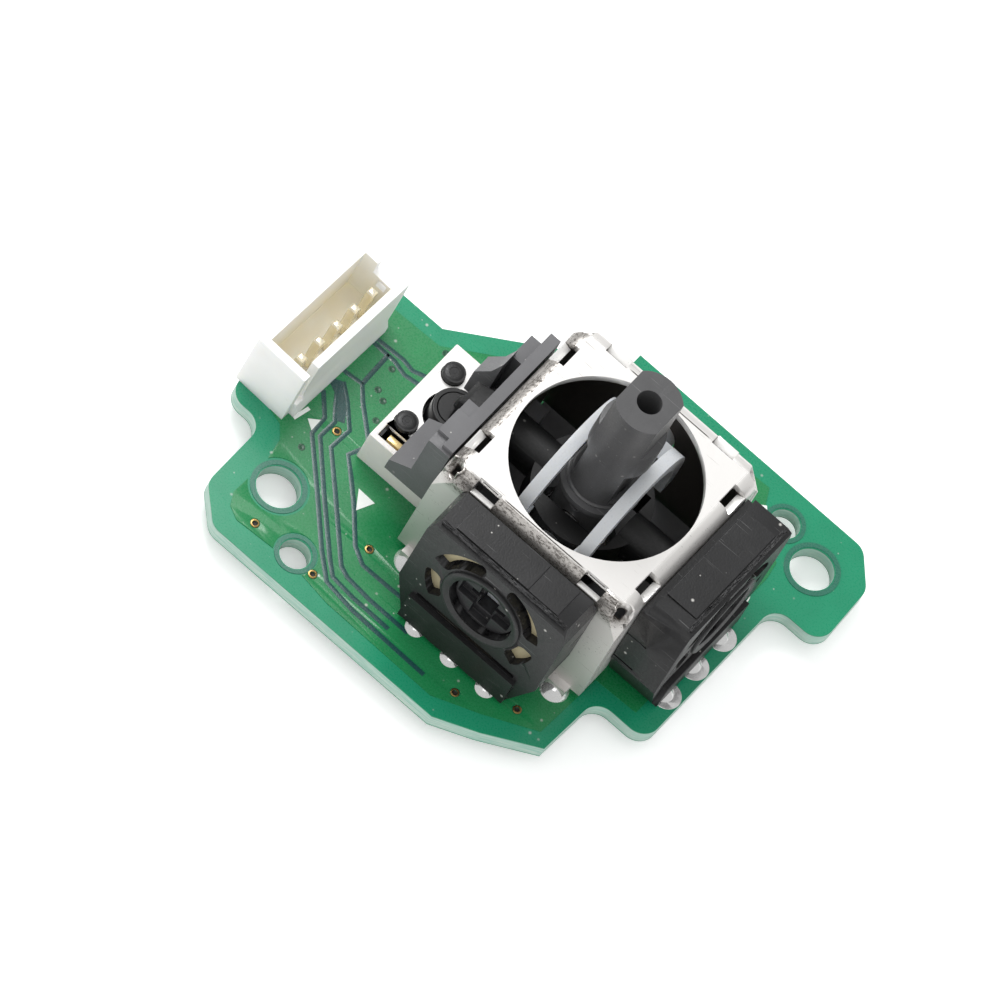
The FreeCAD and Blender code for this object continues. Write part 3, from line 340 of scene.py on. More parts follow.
# Natural nylon lets light in: it is paler on its ridges and warm in its depth
def nylon(name, colour, depth, rough=0.4, share=0.35):
    material = plastic(name, colour, rough, 0.03, 0.000003, dust=0.15)
    shader = material.node_tree.nodes["Principled BSDF"]
    shader.inputs["Subsurface Weight"].default_value = share
    shader.inputs["Subsurface Radius"].default_value = (1.0, 0.9, 0.7)
    shader.inputs["Subsurface Scale"].default_value = depth * MM
    return material


# The socket gets painted shade inside: a cream tint, fuller towards the bottom of its opening
def socket_look():
    material = nylon("socket_white", rgb(246, 246, 244), 1.2, 0.45)
    tree = material.node_tree
    shader = tree.nodes["Principled BSDF"]
    where = tree.nodes["Texture Coordinate"].outputs["Object"]
    back = tuple((-SOCKET - HOME) * MM)
    moved = add(tree, "ShaderNodeMapping", {"Vector": where, "Location": back}).outputs[0]
    local = turned_to(tree, moved, (0, 0, -SOCKET_TURN))
    spot = add(tree, "ShaderNodeSeparateXYZ", {0: local}).outputs
    within = [ramp(tree, maths(tree, "ABSOLUTE", spot[i]), half * MM, (half + 0.06) * MM, 1.0, 0.0)
              for i, half in enumerate(SOCKET_INSIDE)]
    inner = maths(tree, "MULTIPLY", *within)
    deeper_shade = ramp(tree, spot[2], 1.0 * MM, 4.2 * MM, 1.0, 0.35)
    # Painted shade inside the opening, as a cream tint
    share = maths(tree, "MULTIPLY", maths(tree, "MULTIPLY", inner, deeper_shade),
                  ramp(tree, noise(tree, where, 500.0, 2.0), 0.3, 0.6, 0.55, 1.0))
    skin = shader.inputs["Base Color"].links[0].from_socket
    tree.links.new(mixed(tree, share, skin, rgb(240, 232, 210)), shader.inputs["Base Color"])
    return material


looks = {
    "solder_mask": board_look(),
    "frame_nickel": frame_look(),
    "solder": metal("bright_solder", rgb(250, 250, 249), 0.14, 0.0, share=0.75),
    "yoke_plastic": plastic("yoke_black", rgb(14, 14, 15), 0.5, 0.15, dust=0.3, scratches=0.2),
    "pin_steel": metal("drawn_pin", rgb(195, 195, 195), 0.25, 0.2, stretch=(1, 0.1, 1)),
    "arch_plastic": nylon("natural_white", rgb(192, 195, 198), 0.9, 0.32, 0.3),
    "stick_plastic": plastic("stick_grey", rgb(78, 78, 79), 0.36, 0.09, dust=0.35, scratches=0.35),
    "seat_plastic": plastic("seat_black", rgb(20, 20, 21), 0.5, 0.1, dust=0.3),
    "spring_steel": metal("spring_wire", rgb(195, 195, 195), 0.25, 0.15),
    "holder_plastic": plastic("holder_grey", rgb(102, 102, 104), 0.46, 0.09, dust=0.75, scratches=0.4),
    "switch_white": nylon("case_white", rgb(238, 234, 230), 0.6, 0.5, 0.2),
    "switch_black": plastic("insert_black", rgb(22, 22, 23), 0.4, 0.15, dust=0.7),
    "switch_steel": metal("plate_steel", rgb(250, 249, 247), 0.3, 0.0, share=0.45),
    "switch_brass": metal("contact_brass", rgb(244, 218, 156), 0.28, 0.0, share=0.7),
    "tinned_lead": metal("tinned_lead", rgb(224, 224, 222), 0.28, 0.15, share=0.7),
    "socket_nylon": socket_look(),
    "socket_pin_tin": metal("pin_tin", rgb(244, 236, 212), 0.22, 0.0, share=0.7),
    "pot_plastic": plastic("pot_black", rgb(32, 32, 33), 0.4, 0.22, 0.000012, dust=0.9, scratches=0.3),
    "wafer_laminate": plastic("wafer_tan", rgb(184, 174, 140), 0.45, 0.14, dust=0.3),
    "rotor_plastic": plastic("rotor_black", rgb(34, 34, 36), 0.4, 0.12, dust=0.6, scratches=0.3),
    "wiper_brass": metal("wiper_brass", rgb(215, 180, 100), 0.25, 0.2),
}
cut_look = plastic("bright_cut_end", rgb(246, 245, 243), 0.35, 0.04, Metallic=0.5)
# Painted shade: a dark disc that fills the bore of each open via
via_shade_look = plastic("via_bore_shade", rgb(34, 28, 22), 0.6, 0.1)
pour_look = mask_look("mask_over_copper", rgb(28, 128, 74))
gap_look = mask_look("mask_over_laminate", rgb(24, 72, 70))
ring_look = mask_look("mask_at_holes", rgb(44, 112, 92))
tent_look = mask_look("tented_via", rgb(14, 76, 48))
print_look = plastic("legend_ink", rgb(236, 240, 236), 0.6, 0.05)
pad_look = metal("gold_land", rgb(176, 146, 92), 0.35, 0.3)
# Painted highlight: a lighter grey, with dust, for the strip along each pot cover's top edge
crest_highlight_look = plastic("pot_crest_highlight", rgb(66, 66, 67), 0.5, 0.3, 0.00002, dust=1.0)


# Modelling helpers
def clear():
    if bpy.context.object and bpy.context.object.mode != "OBJECT":
        bpy.ops.object.mode_set(mode="OBJECT")
    bpy.ops.object.select_all(action="DESELECT")


def pick(item):
    clear()
    item.select_set(True)
    bpy.context.view_layer.objects.active = item


def choose(item, kind, test):
    pick(item)
    mesh = item.data
    for group in (mesh.vertices, mesh.edges, mesh.polygons):
        group.foreach_set("select", [False] * len(group))
    for part in getattr(mesh, kind):
        part.select = bool(test(part))
    bpy.context.tool_settings.mesh_select_mode = [kind == word for word in ("vertices", "edges", "polygons")]
    bpy.ops.object.mode_set(mode="EDIT")


def settled(item):
    pick(item)
    bpy.ops.object.transform_apply(location=True, rotation=True, scale=True)
    return item


def edit_all(item):
    pick(item)
    bpy.ops.object.mode_set(mode="EDIT")
    bpy.ops.mesh.select_all(action="SELECT")


def tidied(item):
    edit_all(item)
    bpy.ops.mesh.remove_doubles(threshold=0.0005)
    bpy.ops.mesh.normals_make_consistent(inside=False)
    bpy.ops.object.mode_set(mode="OBJECT")
    return item


# The edges that pass a test on their two ends get one bevel
def bevelled(item, test, width, segments):
    choose(item, "edges", lambda edge: test(*[item.data.vertices[i].co for i in edge.vertices]))
    bpy.ops.mesh.bevel(offset=width, segments=segments, affect="EDGES")
    bpy.ops.object.mode_set(mode="OBJECT")


def soften(item, width, segments):
    if width:
        bevel = item.modifiers.new("soft_edges", "BEVEL")
        bevel.width = width
        bevel.segments = segments
        bevel.limit_method = "ANGLE"
        bevel.angle_limit = math.radians(30)
        pick(item)
        bpy.ops.object.modifier_apply(modifier=bevel.name)


def carve(item, *tools):
    for tool in tools:
        settled(tool)
        hollow = item.modifiers.new("carved", "BOOLEAN")
        hollow.operation = "DIFFERENCE"
        hollow.solver = "MANIFOLD"
        hollow.object = tool
        pick(item)
        bpy.ops.object.modifier_apply(modifier=hollow.name)
        bpy.data.objects.remove(tool)


# A finished piece: softened, moved from the stick's axis to the row's origin, in metres, on its body
def finish(item, body, slot, width=0.0, look=None, smooth=35, segments=2):
    settled(item)
    soften(item, width, segments)
    pick(item)
    item.location = HOME * MM
    item.scale = (MM, MM, MM)
    bpy.ops.object.transform_apply(location=True, rotation=True, scale=True)
    bpy.ops.object.shade_smooth_by_angle(angle=math.radians(smooth))
    even = item.modifiers.new("even_shading", "WEIGHTED_NORMAL")
    even.keep_sharp = True
    bpy.ops.object.modifier_apply(modifier=even.name)
    item.data.materials.clear()
    item.data.materials.append(look or looks[slot])
    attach(item, body)


# Flat faces of loose triangles are joined again
def flattened(item):
    bpy.ops.mesh.dissolve_limited(angle_limit=math.radians(1.0))
    bpy.ops.object.mode_set(mode="OBJECT")
    return item


# A node's own mesh, copied and brought to millimetres from the stick's axis
def copied(node):
    item = bpy.data.objects.new(node + "_shown", nodes[node].data.copy())
    bpy.context.scene.collection.objects.link(item)
    pick(item)
    item.scale = (1 / MM,) * 3
    item.location = -HOME
    bpy.ops.object.transform_apply(location=True, rotation=False, scale=True)
    edit_all(item)
    bpy.ops.mesh.remove_doubles(threshold=0.002)
    return flattened(item)


# A node's shown piece: its copy, shaped further where shape is given, which stands for the node
def dress(node, width=0.06, smooth=35, segments=2, shape=None):
    item = copied(node)
    if shape:
        shape(item)
        edit_all(item)
        flattened(item)
    finish(item, body_of[node], slot_of[node], width, None, smooth, segments)
    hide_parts(node)


# A turned shape: a disc or hoop that is extruded up and resized through its radii and heights
def turned(name, profile, spot=(0, 0, 0), way=(0, 0, 1), count=32, hoop=False):
    clear()
    radius, level = profile[0]
    bpy.context.tool_settings.mesh_select_mode = (True, False, False)
    bpy.ops.mesh.primitive_circle_add(vertices=count, radius=radius, location=(0, 0, level),
                                      fill_type="NOTHING" if hoop else "NGON")
    item = bpy.context.object
    item.name = name
    bpy.ops.object.mode_set(mode="EDIT")
    bpy.ops.mesh.select_all(action="SELECT")
    for wide, high in profile[1:]:
        bpy.ops.mesh.extrude_region_move(TRANSFORM_OT_translate={"value": (0, 0, high - level)})
        bpy.ops.transform.resize(value=(wide / radius, wide / radius, 1), center_override=(0, 0, high))
        radius, level = wide, high
    bpy.ops.object.mode_set(mode="OBJECT")
    settled(tidied(item))
    item.rotation_euler = Vector(way).to_track_quat("Z", "Y").to_euler()
    item.location = spot
    return settled(item)


def brick(name, low, high):
    clear()
    middle = [(a + b) / 2 for a, b in zip(low, high)]
    bpy.ops.mesh.primitive_cube_add(size=1, location=middle)
    item = bpy.context.object
    item.name = name
    item.scale = [b - a for a, b in zip(low, high)]
    return settled(item)


# A flat shape with its holes, drawn as one plane curve and given its thickness
def flat(name, rings, low, thick):
    curve = bpy.data.curves.new(name, "CURVE")
    curve.dimensions = "2D"
    curve.fill_mode = "BOTH"
    curve.extrude = thick / 2
    for ring in rings:
        line = curve.splines.new("POLY")
        line.points.add(len(ring) - 1)
        for point, (x, y) in zip(line.points, ring):
            point.co = (x, y, 0, 1)
        line.use_cyclic_u = True
    return meshed(name, curve, low + thick / 2)


# Round runs that are pressed flat, for the dark lines between the tracks
def runs(name, lines, wide, high, level):
    curve = bpy.data.curves.new(name, "CURVE")
    curve.dimensions = "3D"
    curve.bevel_depth = wide / 2
    curve.bevel_resolution = 1
    curve.use_fill_caps = True
    for run in lines:
        line = curve.splines.new("POLY")
        line.points.add(len(run) - 1)
        for point, (x, y) in zip(line.points, run):
            point.co = (x, y, 0, 1)
    item = meshed(name, curve, 0)
    item.scale.z = 2 * high / wide
    item.location.z = level
    return settled(item)


def meshed(name, curve, level):
    item = bpy.data.objects.new(name, curve)
    bpy.context.scene.collection.objects.link(item)
    pick(item)
    bpy.ops.object.convert(target="MESH")
    item = bpy.context.object
    item.name = name
    item.location = (0, 0, level)
    return tidied(settled(item))


def on_circle(middle, radius, degrees):
    turn = math.radians(degrees)
    return (middle[0] + radius * math.cos(turn), middle[1] + radius * math.sin(turn))


def arc(middle, radius, start, end, count=24):
    return [on_circle(middle, radius, start + (end - start) * i / count) for i in range(count + 1)]


def again(item, name, move):
    twin = item.copy()
    twin.data = item.data.copy()
    twin.name = name
    bpy.context.scene.collection.objects.link(twin)
    twin.location = Vector(move)
    return settled(twin)


# One model, copied to each place and finished there
def spread(item, places, body, slot, look=None):
    for number, place in enumerate(places, 1):
        finish(again(item, f"{item.name}_{number}", place), body, slot, look=look)
    bpy.data.objects.remove(item)


# The board: plated holes, copper under the mask, bare lines between the tracks, lands, vias and legend marks
SCREW_LEFT, SCREW_RIGHT, SCREW_RADIUS = (-13.12, -8.58), (10.84, 9.48), 1.275
PEG_LEFT, PEG_RIGHT, PEG_RADIUS = (-9.93, -11.06), (8.05, 10.52), 0.9
BARE_RINGS = {
    "screw_left": (SCREW_LEFT, SCREW_RADIUS, 0.34),
    "screw_right": (SCREW_RIGHT, SCREW_RADIUS, 0.34),
    "peg_left": (PEG_LEFT, PEG_RADIUS, 0.3),
    "peg_right": (PEG_RIGHT, PEG_RADIUS, 0.3),
}
COPPER = 0.035
VIA_BORE, VIA_RIM = 0.15, 0.27
OPEN_VIAS = [(-12.66, -11.28), (-8.50, -11.32), (-12.96, -3.59), (-7.23, -7.83), (-9.0, 6.7),
             (1.48, -11.06), (4.54, -9.32), (4.6, -5.6)]
TENTED_VIAS = [(-13.73, -5.79), (-12.93, 0.07), (-11.84, -1.48), (-12.31, -0.26), (-13.17, 1.62),
               (-11.66, 4.59)]
POUR = (arc(SCREW_LEFT, 1.76, 148.8, -149.2) + [(-14.69, -10.67), (-14.28, -11.46), (-13.51, -11.87)]
        + arc(PEG_LEFT, 1.28, 210.5, -35.3, 16)
        + [(-6.9, -12.1), (0.6, -12.2), (3.3, -11.0), (6.3, -9.4), (6.5, -4.7), (9.3, -4.6), (9.4, 7.2),
           (9.2, 8.3), (8.0, 9.1), (6.7, 10.4), (6.1, 11.6), (-3.4, 11.0), (-12.2, 4.7), (-17.7, 4.5),
           (-17.7, -4.9), (-15.46, -5.56), (-14.86, -6.31)])
# The dark lines between tracks; the first few are on both faces
LINES_UNDER = 5
LINE_WIDE, LINE_HIGH = 0.3, 0.012
GAPS = [
    [(-15.06, -2.18), (-13.95, -3.44), (-13.86, -4.7), (-11.36, -7.33), (-9.07, -9.8), (-7.67, -11.1),
     (-5.6, -11.4), (-0.4, -11.5)],
    [(-14.8, -1.2), (-13.84, -2.63), (-13.39, -3.23), (-13.43, -4.5), (-11.1, -7.06), (-8.45, -9.85),
     (-7.62, -10.62), (-6.05, -10.78), (-3.5, -10.8)],
    [(-14.59, -0.97), (-13.67, -1.76), (-12.49, -3.03), (-12.58, -4.58), (-10.66, -6.59), (-7.7, -9.76),
     (-7.03, -10.05), (-5.34, -10.2), (-2.6, -10.2)],
    [(-16.19, -0.4), (-14.88, -0.42), (-13.77, -0.29), (-13.07, -1.12), (-11.2, -2.9)],
    [(-13.85, 2.2), (-13.8, 0.29), (-13.77, -0.29)],
    [(-15.4, 2.4), (-14.46, 2.47), (-13.07, 2.54), (-12.31, 2.39), (-10.9, 2.9)],
    [(-14.92, 2.13), (-13.39, 2.11), (-12.47, 1.86), (-10.9, 2.1)],
    [(-11.3, -3.4), (-11.64, -4.23), (-10.65, -5.19), (-9.48, -6.4), (-7.91, -8.24), (-6.9, -8.85),
     (-5.17, -8.83), (-3.79, -8.77)],
    [(7.2, 10.2), (6.9, 8.2), (7.6, 6.4)],
]
FIELD = [(-15.5, -1.4), (-14.59, -0.97), (-13.5, -2.0), (-12.95, -2.9), (-13.35, -3.1), (-13.95, -2.55),
         (-14.4, -1.9)]
LEGEND_LOOP = (8.75, 5.2)
LEGEND = {
    "socket_bar": [(-15.26, -4.72), (-15.02, -3.62), (-14.80, -3.67), (-15.04, -4.77)],
    "socket_mark": [(-14.58, -4.19), (-14.01, -3.72), (-13.98, -4.6)],
    "switch_mark": [(-9.94, -5.4), (-8.75, -5.45), (-9.22, -6.55)],
    "corner_bar": [(6.1, 9.75), (6.9, 10.35), (6.68, 10.62), (5.9, 10.05)],
    "arc": arc(LEGEND_LOOP, 0.78, -150, 60, 20) + arc(LEGEND_LOOP, 0.56, 60, -150, 20),
}


def board():
    def drill(item):
        bore = [(VIA_BORE, -1.5), (VIA_BORE, 0.5)]
        carve(item, *[turned("via_drill", bore, (x, y, 0), count=12) for x, y in OPEN_VIAS])

    def on_board(item, look, width=0.0, smooth=35):
        finish(item, "root", "solder_mask", width, look, smooth)
    dress("circuit_board", 0.03, shape=drill)
    holes = [arc(spot, 0.3, 0, 345, 23) for spot in OPEN_VIAS]
    on_board(flat("copper_pour_top", [POUR] + holes, 0.0, COPPER), pour_look, 0.012)
    on_board(flat("copper_pour_under", [POUR], -BOARD_THICK - COPPER, COPPER), pour_look, 0.012)
    level = COPPER - 0.001
    for name, lines, height in (("bare_lines_top", GAPS, level),
                                ("bare_lines_under", GAPS[:LINES_UNDER], -BOARD_THICK - level)):
        on_board(runs(name, lines, LINE_WIDE, LINE_HIGH, height), gap_look, smooth=60)
    on_board(flat("bare_field", [FIELD], 0.03, 0.014), gap_look)
    for word, (spot, radius, wide) in BARE_RINGS.items():
        ring = [arc(spot, radius + wide, 0, 352, 44), arc(spot, radius + 0.06, 0, 352, 44)]
        on_board(flat("bare_ring_" + word, ring, 0.0, 0.038), ring_look)
    vias()
    for word, ring in LEGEND.items():
        on_board(flat("legend_" + word, [ring], 0.04, 0.02), print_look)


# Vias: a bare land round a bore filled with a dark disc of painted shade, or a low cap of mask
def vias():
    land = [(VIA_RIM, 0.0), (0.26, 0.05), (0.24, 0.06), (0.17, 0.06), (VIA_BORE, 0.03), (VIA_BORE, -0.9),
            (VIA_RIM, -0.9), (VIA_RIM, 0.0)]
    bore_shade = [(0.155, -0.9), (0.155, -0.02), (0.1, -0.05)]
    cap = [(0.22, 0.0), (0.21, 0.045), (0.14, 0.05), (0.06, 0.036)]
    for name, profile, spots, look in (("via_land", land, OPEN_VIAS, pad_look),
                                       ("via_bore_shade", bore_shade, OPEN_VIAS, via_shade_look),
                                       ("tented_via", cap, TENTED_VIAS, tent_look)):
        item = turned(name, profile, count=20, hoop=name == "via_land")
        spread(item, [(x, y, 0) for x, y in spots], "root", "solder_mask", look)


# Solder: each joint is a blob that climbs its lead, with a concave foot. The values of a drop are its radius,
# its height and the radius that it keeps round the lead
LEAD_DROP = (0.62, 0.34, 0.3)
TAB_DROP = (0.88, 0.62, 0.39)


def joint(name, radius, high, wide):
    return turned(name, [(radius, 0.0), (radius * 0.97, high * 0.1), (radius * 0.86, high * 0.3),
                         (radius * 0.72, high * 0.55), (max(wide, radius * 0.56), high * 0.8),
                         (max(wide, radius * 0.4) * 0.9, high * 0.95), (wide * 0.5, high)], count=28)


def solder():
    def without_tops(item):
        carve(item, brick("dome_trim", (-11, -11, 0.02), (11, 11, 2)))
    leads = [step * LEAD_PITCH for step in (-1, 0, 1)]
    tabs = [(a * TAB_X, b * TAB_Y) for a in (-1, 1) for b in (-1, 1)]
    for node, drop_size, places, shape in (
            ("x_pot_solder", LEAD_DROP, [(lead, -LEAD_LINE) for lead in leads], without_tops),
            ("y_pot_solder", LEAD_DROP, [(LEAD_LINE, lead) for lead in leads], without_tops),
            ("frame_solder", TAB_DROP, tabs, None)):
        dress(node, 0.0, smooth=60, shape=shape)
        for number, (x, y) in enumerate(places, 1):
            for word, turn, level in (("top", 0, 0.0), ("under", math.pi, -BOARD_THICK)):
                drop = joint(f"{node}_{word}_{number}", *drop_size)
                drop.rotation_euler = (0, turn, 0)
                drop.location = (x, y, level)
                finish(drop, "root", "solder", smooth=70)
    dress("socket_solder", 0.0, smooth=60)
    dress("switch_solder", 0.0, smooth=60)


# A slot's bright cut end slopes up towards the opening
def slot_end(name, turn, spot):
    end = brick(name, (-0.27, -0.72, -0.04), (0.27, 0.72, 0.04))
    end.rotation_euler = (0, -math.radians(27), 0)
    end.location = (FRAME_HALF - 0.3, 0, FRAME_TOP - 0.55)
    settled(end)
    end.rotation_euler = (0, 0, turn)
    end.location = spot
    finish(end, "root", "frame_nickel", 0.03, cut_look)


# The folded frame with round slots, their cut ends, and the burr that the punch left round each corner hole
def frame_metal():
    def back_corner(*ends):
        spans = [sorted((abs(p.x), abs(p.y))) for p in ends]
        return all(abs(far - SLOT_BACK) < NEAR and min(abs(near - side) for side in SLOT_SIDES) < NEAR
                   for near, far in spans)
    dress("metal_frame", 0.05, smooth=42, shape=lambda item: bevelled(item, back_corner, 0.3, 3))
    number = 0
    for a in (-1, 1):
        inward = math.degrees(math.atan2(1, -a))
        hole = (a * CORNER_HOLE, -CORNER_HOLE)
        rim = arc(hole, 0.57, inward - 90, inward + 90, 20) + arc(hole, 0.46, inward + 90, inward - 90, 20)
        burr = flat(f"corner_burr_{(a + 3) // 2}", [rim], FRAME_TOP - 0.6, 0.65)
        finish(burr, "root", "frame_nickel", 0.04)
        turn = math.pi if a < 0 else 0
        for b in (-1, 1):
            number += 1
            slot_end(f"slot_end_x_{number}", turn, (0, b * SLOT_MIDDLE, 0))
            slot_end(f"slot_end_y_{number}", turn + math.pi / 2, (b * SLOT_MIDDLE, 0, 0))


# Arch: rails with round edges, which widen in soft corners where they leave the slot's ends
def arch():
    def at_end(*ends):
        turns = [math.degrees(math.atan2(abs(p.y), p.z - PIVOT)) for p in ends]
        return (all(abs(abs(p.x) - ARCH_HALF) < NEAR for p in ends)
                and all(abs(turn - ARCH_SLOT_END) < 1.5 for turn in turns)
                and (ends[0] - ends[1]).length > 0.8)

    def soft_ends(item):
        bevelled(item, at_end, 1.1, 6)
        carve(item, brick("slot_run_out", (-1.6, -6.3, 7.45), (1.6, -3.6, 9.6)),
              brick("slot_foot", (-1.6, -4.95, 6.4), (1.6, -3.3, 7.6)))
    dress("upper_yoke", 0.2, smooth=50, segments=3, shape=soft_ends)


# Stick: softened tip, mould rings on the collar and a round boss on its side
def stick():
    dress("stick", 0.12, smooth=40, segments=3)
    for number, (high, radius) in enumerate(((8.95, 2.05), (9.2, 1.85)), 1):
        ring = turned(f"collar_ring_{number}", [(radius, 0.0), (radius, 0.1), (radius - 0.12, 0.16),
                                                (radius - 0.5, 0.16), (radius - 0.5, 0.0), (radius, 0.0)],
                      (0, 0, high - 0.12), hoop=True)
        finish(ring, "stick", "stick_plastic", 0.02)
    profile = [(0.42, 0.0), (0.42, 0.16), (0.38, 0.2), (0.3, 0.2), (0.27, 0.12), (0.1, 0.1)]
    boss = turned("collar_boss", profile, (0.0, -1.9, 8.1), (0, -1, 0.25), 24)
    finish(boss, "stick", "stick_plastic")


# Yoke, pin, spring and seat: the nose has a roof and a knob, and the yoke is relieved over the spring
def gimbal():
    def ridge(*ends):
        return all(p.x < -7.5 and abs(abs(p.y) - YOKE_NOSE_HALF) < NEAR and p.z > PIVOT + 0.6 for p in ends)

    def roof(item):
        bevelled(item, ridge, 0.35, 1)
        carve(item, brick("spring_relief", (-2.4, -3.7, 4.3), (2.4, 3.7, 4.68)))
    dress("lower_yoke", 0.06, shape=roof)
    knob = turned("yoke_knob", [(0.46, 0.0), (0.46, 0.12), (0.4, 0.26), (0.26, 0.34), (0.1, 0.36)],
                  (-8.6, 0.0, 4.85), (-1, 0, 0), 24)
    finish(knob, "yoke", "yoke_plastic", smooth=60)
    dress("cross_pin", 0.08)
    dress("return_spring", 0.0, smooth=60)
    dress("spring_seat", 0.06)


# Potentiometers: the same cover on two sides, drawn on the side towards -Y and turned to +X for the other
def turn_side(item, side, back=False):
    if side == "y":
        item.rotation_euler = (0, 0, -math.pi / 2 if back else math.pi / 2)
        settled(item)
    return item


# A window is a bent slot with round corners, cut from the face inwards
def window_tool(start, end):
    corner = ((WINDOW_OUTER - 0.1, 1.2), (WINDOW_OUTER - 0.3, 0.0),
              (WINDOW_INNER + 0.3, 0.0), (WINDOW_INNER + 0.1, 2.0))
    ring = arc((0, 0), WINDOW_OUTER, start + 4, end - 4, 14)
    ring += [on_circle((0, 0), radius, end - short) for radius, short in corner]
    ring += arc((0, 0), WINDOW_INNER, end - 5, start + 5, 14)
    ring += [on_circle((0, 0), radius, start + short) for radius, short in reversed(corner)]
    tool = flat("window_tool", [ring], POT_OUT - 0.7, 1.5)
    tool.rotation_euler = (math.pi / 2, 0, 0)
    tool.location.z = PIVOT
    return tool


def potentiometer(side):
    name = side + "_pot_"
    out = -POT_OUT

    def crest(*ends):
        return all(abs(p.y - out) < NEAR and p.z > POT_TOP - 0.1 for p in ends)

    def cover(item):
        bevelled(turn_side(item, side, back=True), crest, 0.3, 1)
        slits = [brick("end_slit", (x, out + 1.7, z - 0.07), (x + 0.6, out + 3.3, z + 0.07))
                 for x in (-5.2, 4.6) for z in (3.6, 6.25)]
        scoop = brick("front_scoop", (-3.45, out - 0.6, 2.63), (3.45, out + 0.55, 2.98))
        windows = [window_tool(middle - wide / 2, middle + wide / 2) for middle, wide in WINDOWS]
        carve(item, *slits, scoop, *windows)
        turn_side(item, side)
    dress(name + "cover", 0.05, shape=cover)
    profile = [(2.62, -0.05), (2.6, 0.14), (2.52, 0.2), (2.36, 0.2), (2.2, 0.12), (2.07, 0.1),
               (2.07, -0.05), (2.62, -0.05)]
    ring = turned(name + "bore_ring", profile, (0, out, PIVOT), (0, -1, 0), 64, True)
    finish(turn_side(ring, side), "root", "pot_plastic", 0.02)
    apron = brick(name + "apron", (-3.62, out - 0.305, 0.36), (3.62, out - 0.02, 1.3))
    finish(turn_side(apron, side), "root", "pot_plastic", 0.04)

    # Steps along the top, and a broken strip at its outer edge: a lighter grey with dust, which is a painted
    # highlight on the top edge of the cover
    for number, (start, end, rise) in enumerate(((-3.6, 1.49, 0.12), (1.47, 3.6, 0.06)), 1):
        low, high = (start, out + 0.5, POT_TOP - 0.05), (end, out + 2.55, POT_TOP + rise)
        step = brick(f"{name}top_step_{number}", low, high)
        finish(turn_side(step, side), "root", "pot_plastic", 0.03)
    crest_highlight_strip = brick(name + "crest_highlight_strip", (-4.35, out + 0.22, POT_TOP - 0.08), (4.35, out + 0.42, POT_TOP + 0.03))
    choose(crest_highlight_strip, "polygons", lambda face: True)
    bpy.ops.mesh.subdivide(number_cuts=32)
    bpy.ops.transform.vertex_random(offset=0.035, uniform=0.5, normal=0.3, seed=3)
    bpy.ops.object.mode_set(mode="OBJECT")
    finish(turn_side(crest_highlight_strip, side), "root", "pot_plastic", look=crest_highlight_look, smooth=20)

    # The carbon track that shows through the windows
    wide, narrow = WINDOW_OUTER - 0.02, WINDOW_INNER + 0.2
    profile = [(wide, 0.0), (wide, 0.22), (narrow, 0.22), (narrow, 0.0), (wide, 0.0)]
    track = turned(name + "track", profile, (0, out + 0.75, PIVOT), (0, -1, 0), 64, True)
    finish(turn_side(track, side), "root", "wafer_laminate", 0.02)

    def cross(item):
        turn_side(item, side, back=True)
        arms = [brick("cross_arm", (-x, out - 0.5, PIVOT - z), (x, out + 0.8, PIVOT + z))
                for x, z in ((0.62, 1.72), (1.72, 0.62))]
        carve(item, *arms)
        turn_side(item, side)
    dress(name + "wafer", 0.04)
    dress(name + "rotor", 0.04, shape=cross)
    dress(name + "wiper", 0.04)

    def shortened(item):
        trims = {"x": ((-4, -10.5, 0.12), (4, -9.6, 1.4)), "y": ((9.6, -4, 0.12), (10.5, 4, 1.4))}
        carve(item, brick("lead_trim", *trims[side]))
    for number in (1, 2, 3):
        dress(f"{name}terminal_{number}", 0.05, shape=shortened)


# Push switch: a plate with round corners, four domed posts and a ring on its stem
def push_switch():
    def corner(low, high):
        upright = abs(low.x - high.x) + abs(low.y - high.y) < NEAR
        return upright and abs(low.x - SWITCH_X) > 2.0 and abs(low.y) > 2.0
    dress("switch_case", 0.07)
    dress("switch_insert", 0.03)
    dress("switch_plate", 0.03, shape=lambda item: bevelled(item, corner, 0.5, 5))
    dress("switch_dome", 0.0)
    dress("switch_contact", 0.04)
    for number in (1, 2):
        dress(f"switch_terminal_{number}", 0.04)
    profile = [(0.66, 0.0), (0.66, 0.2), (0.6, 0.32), (0.5, 0.37), (0.3, 0.37), (0.26, 0.33), (0.14, 0.33),
               (0.1, 0.36)]
    posts = [(SWITCH_X + a * POST_X, b * POST_Y, POST_Z) for a in (-1, 1) for b in (-1, 1)]
    spread(turned("post_head", profile, count=28), posts, "root", "switch_black")
    dress("switch_stem", 0.1, segments=3)
    profile = [(1.12, -0.05), (1.12, 0.06), (1.05, 0.1), (0.98, 0.1), (0.9, 0.04), (0.9, -0.05),
               (1.12, -0.05)]
    ring = turned("stem_ring", profile, (SWITCH_X, 0, 3.9), count=48, hoop=True)
    finish(ring, "stem", "switch_black")


# Cable socket and its five pins
def cable_socket():
    dress("socket_housing", 0.1, segments=3)
    for number in range(1, 6):
        dress(f"socket_pin_{number}", 0.03)


board()
solder()
frame_metal()
arch()
stick()
gimbal()
potentiometer("x")
potentiometer("y")
push_switch()
dress("base_holder", 0.06)
cable_socket()

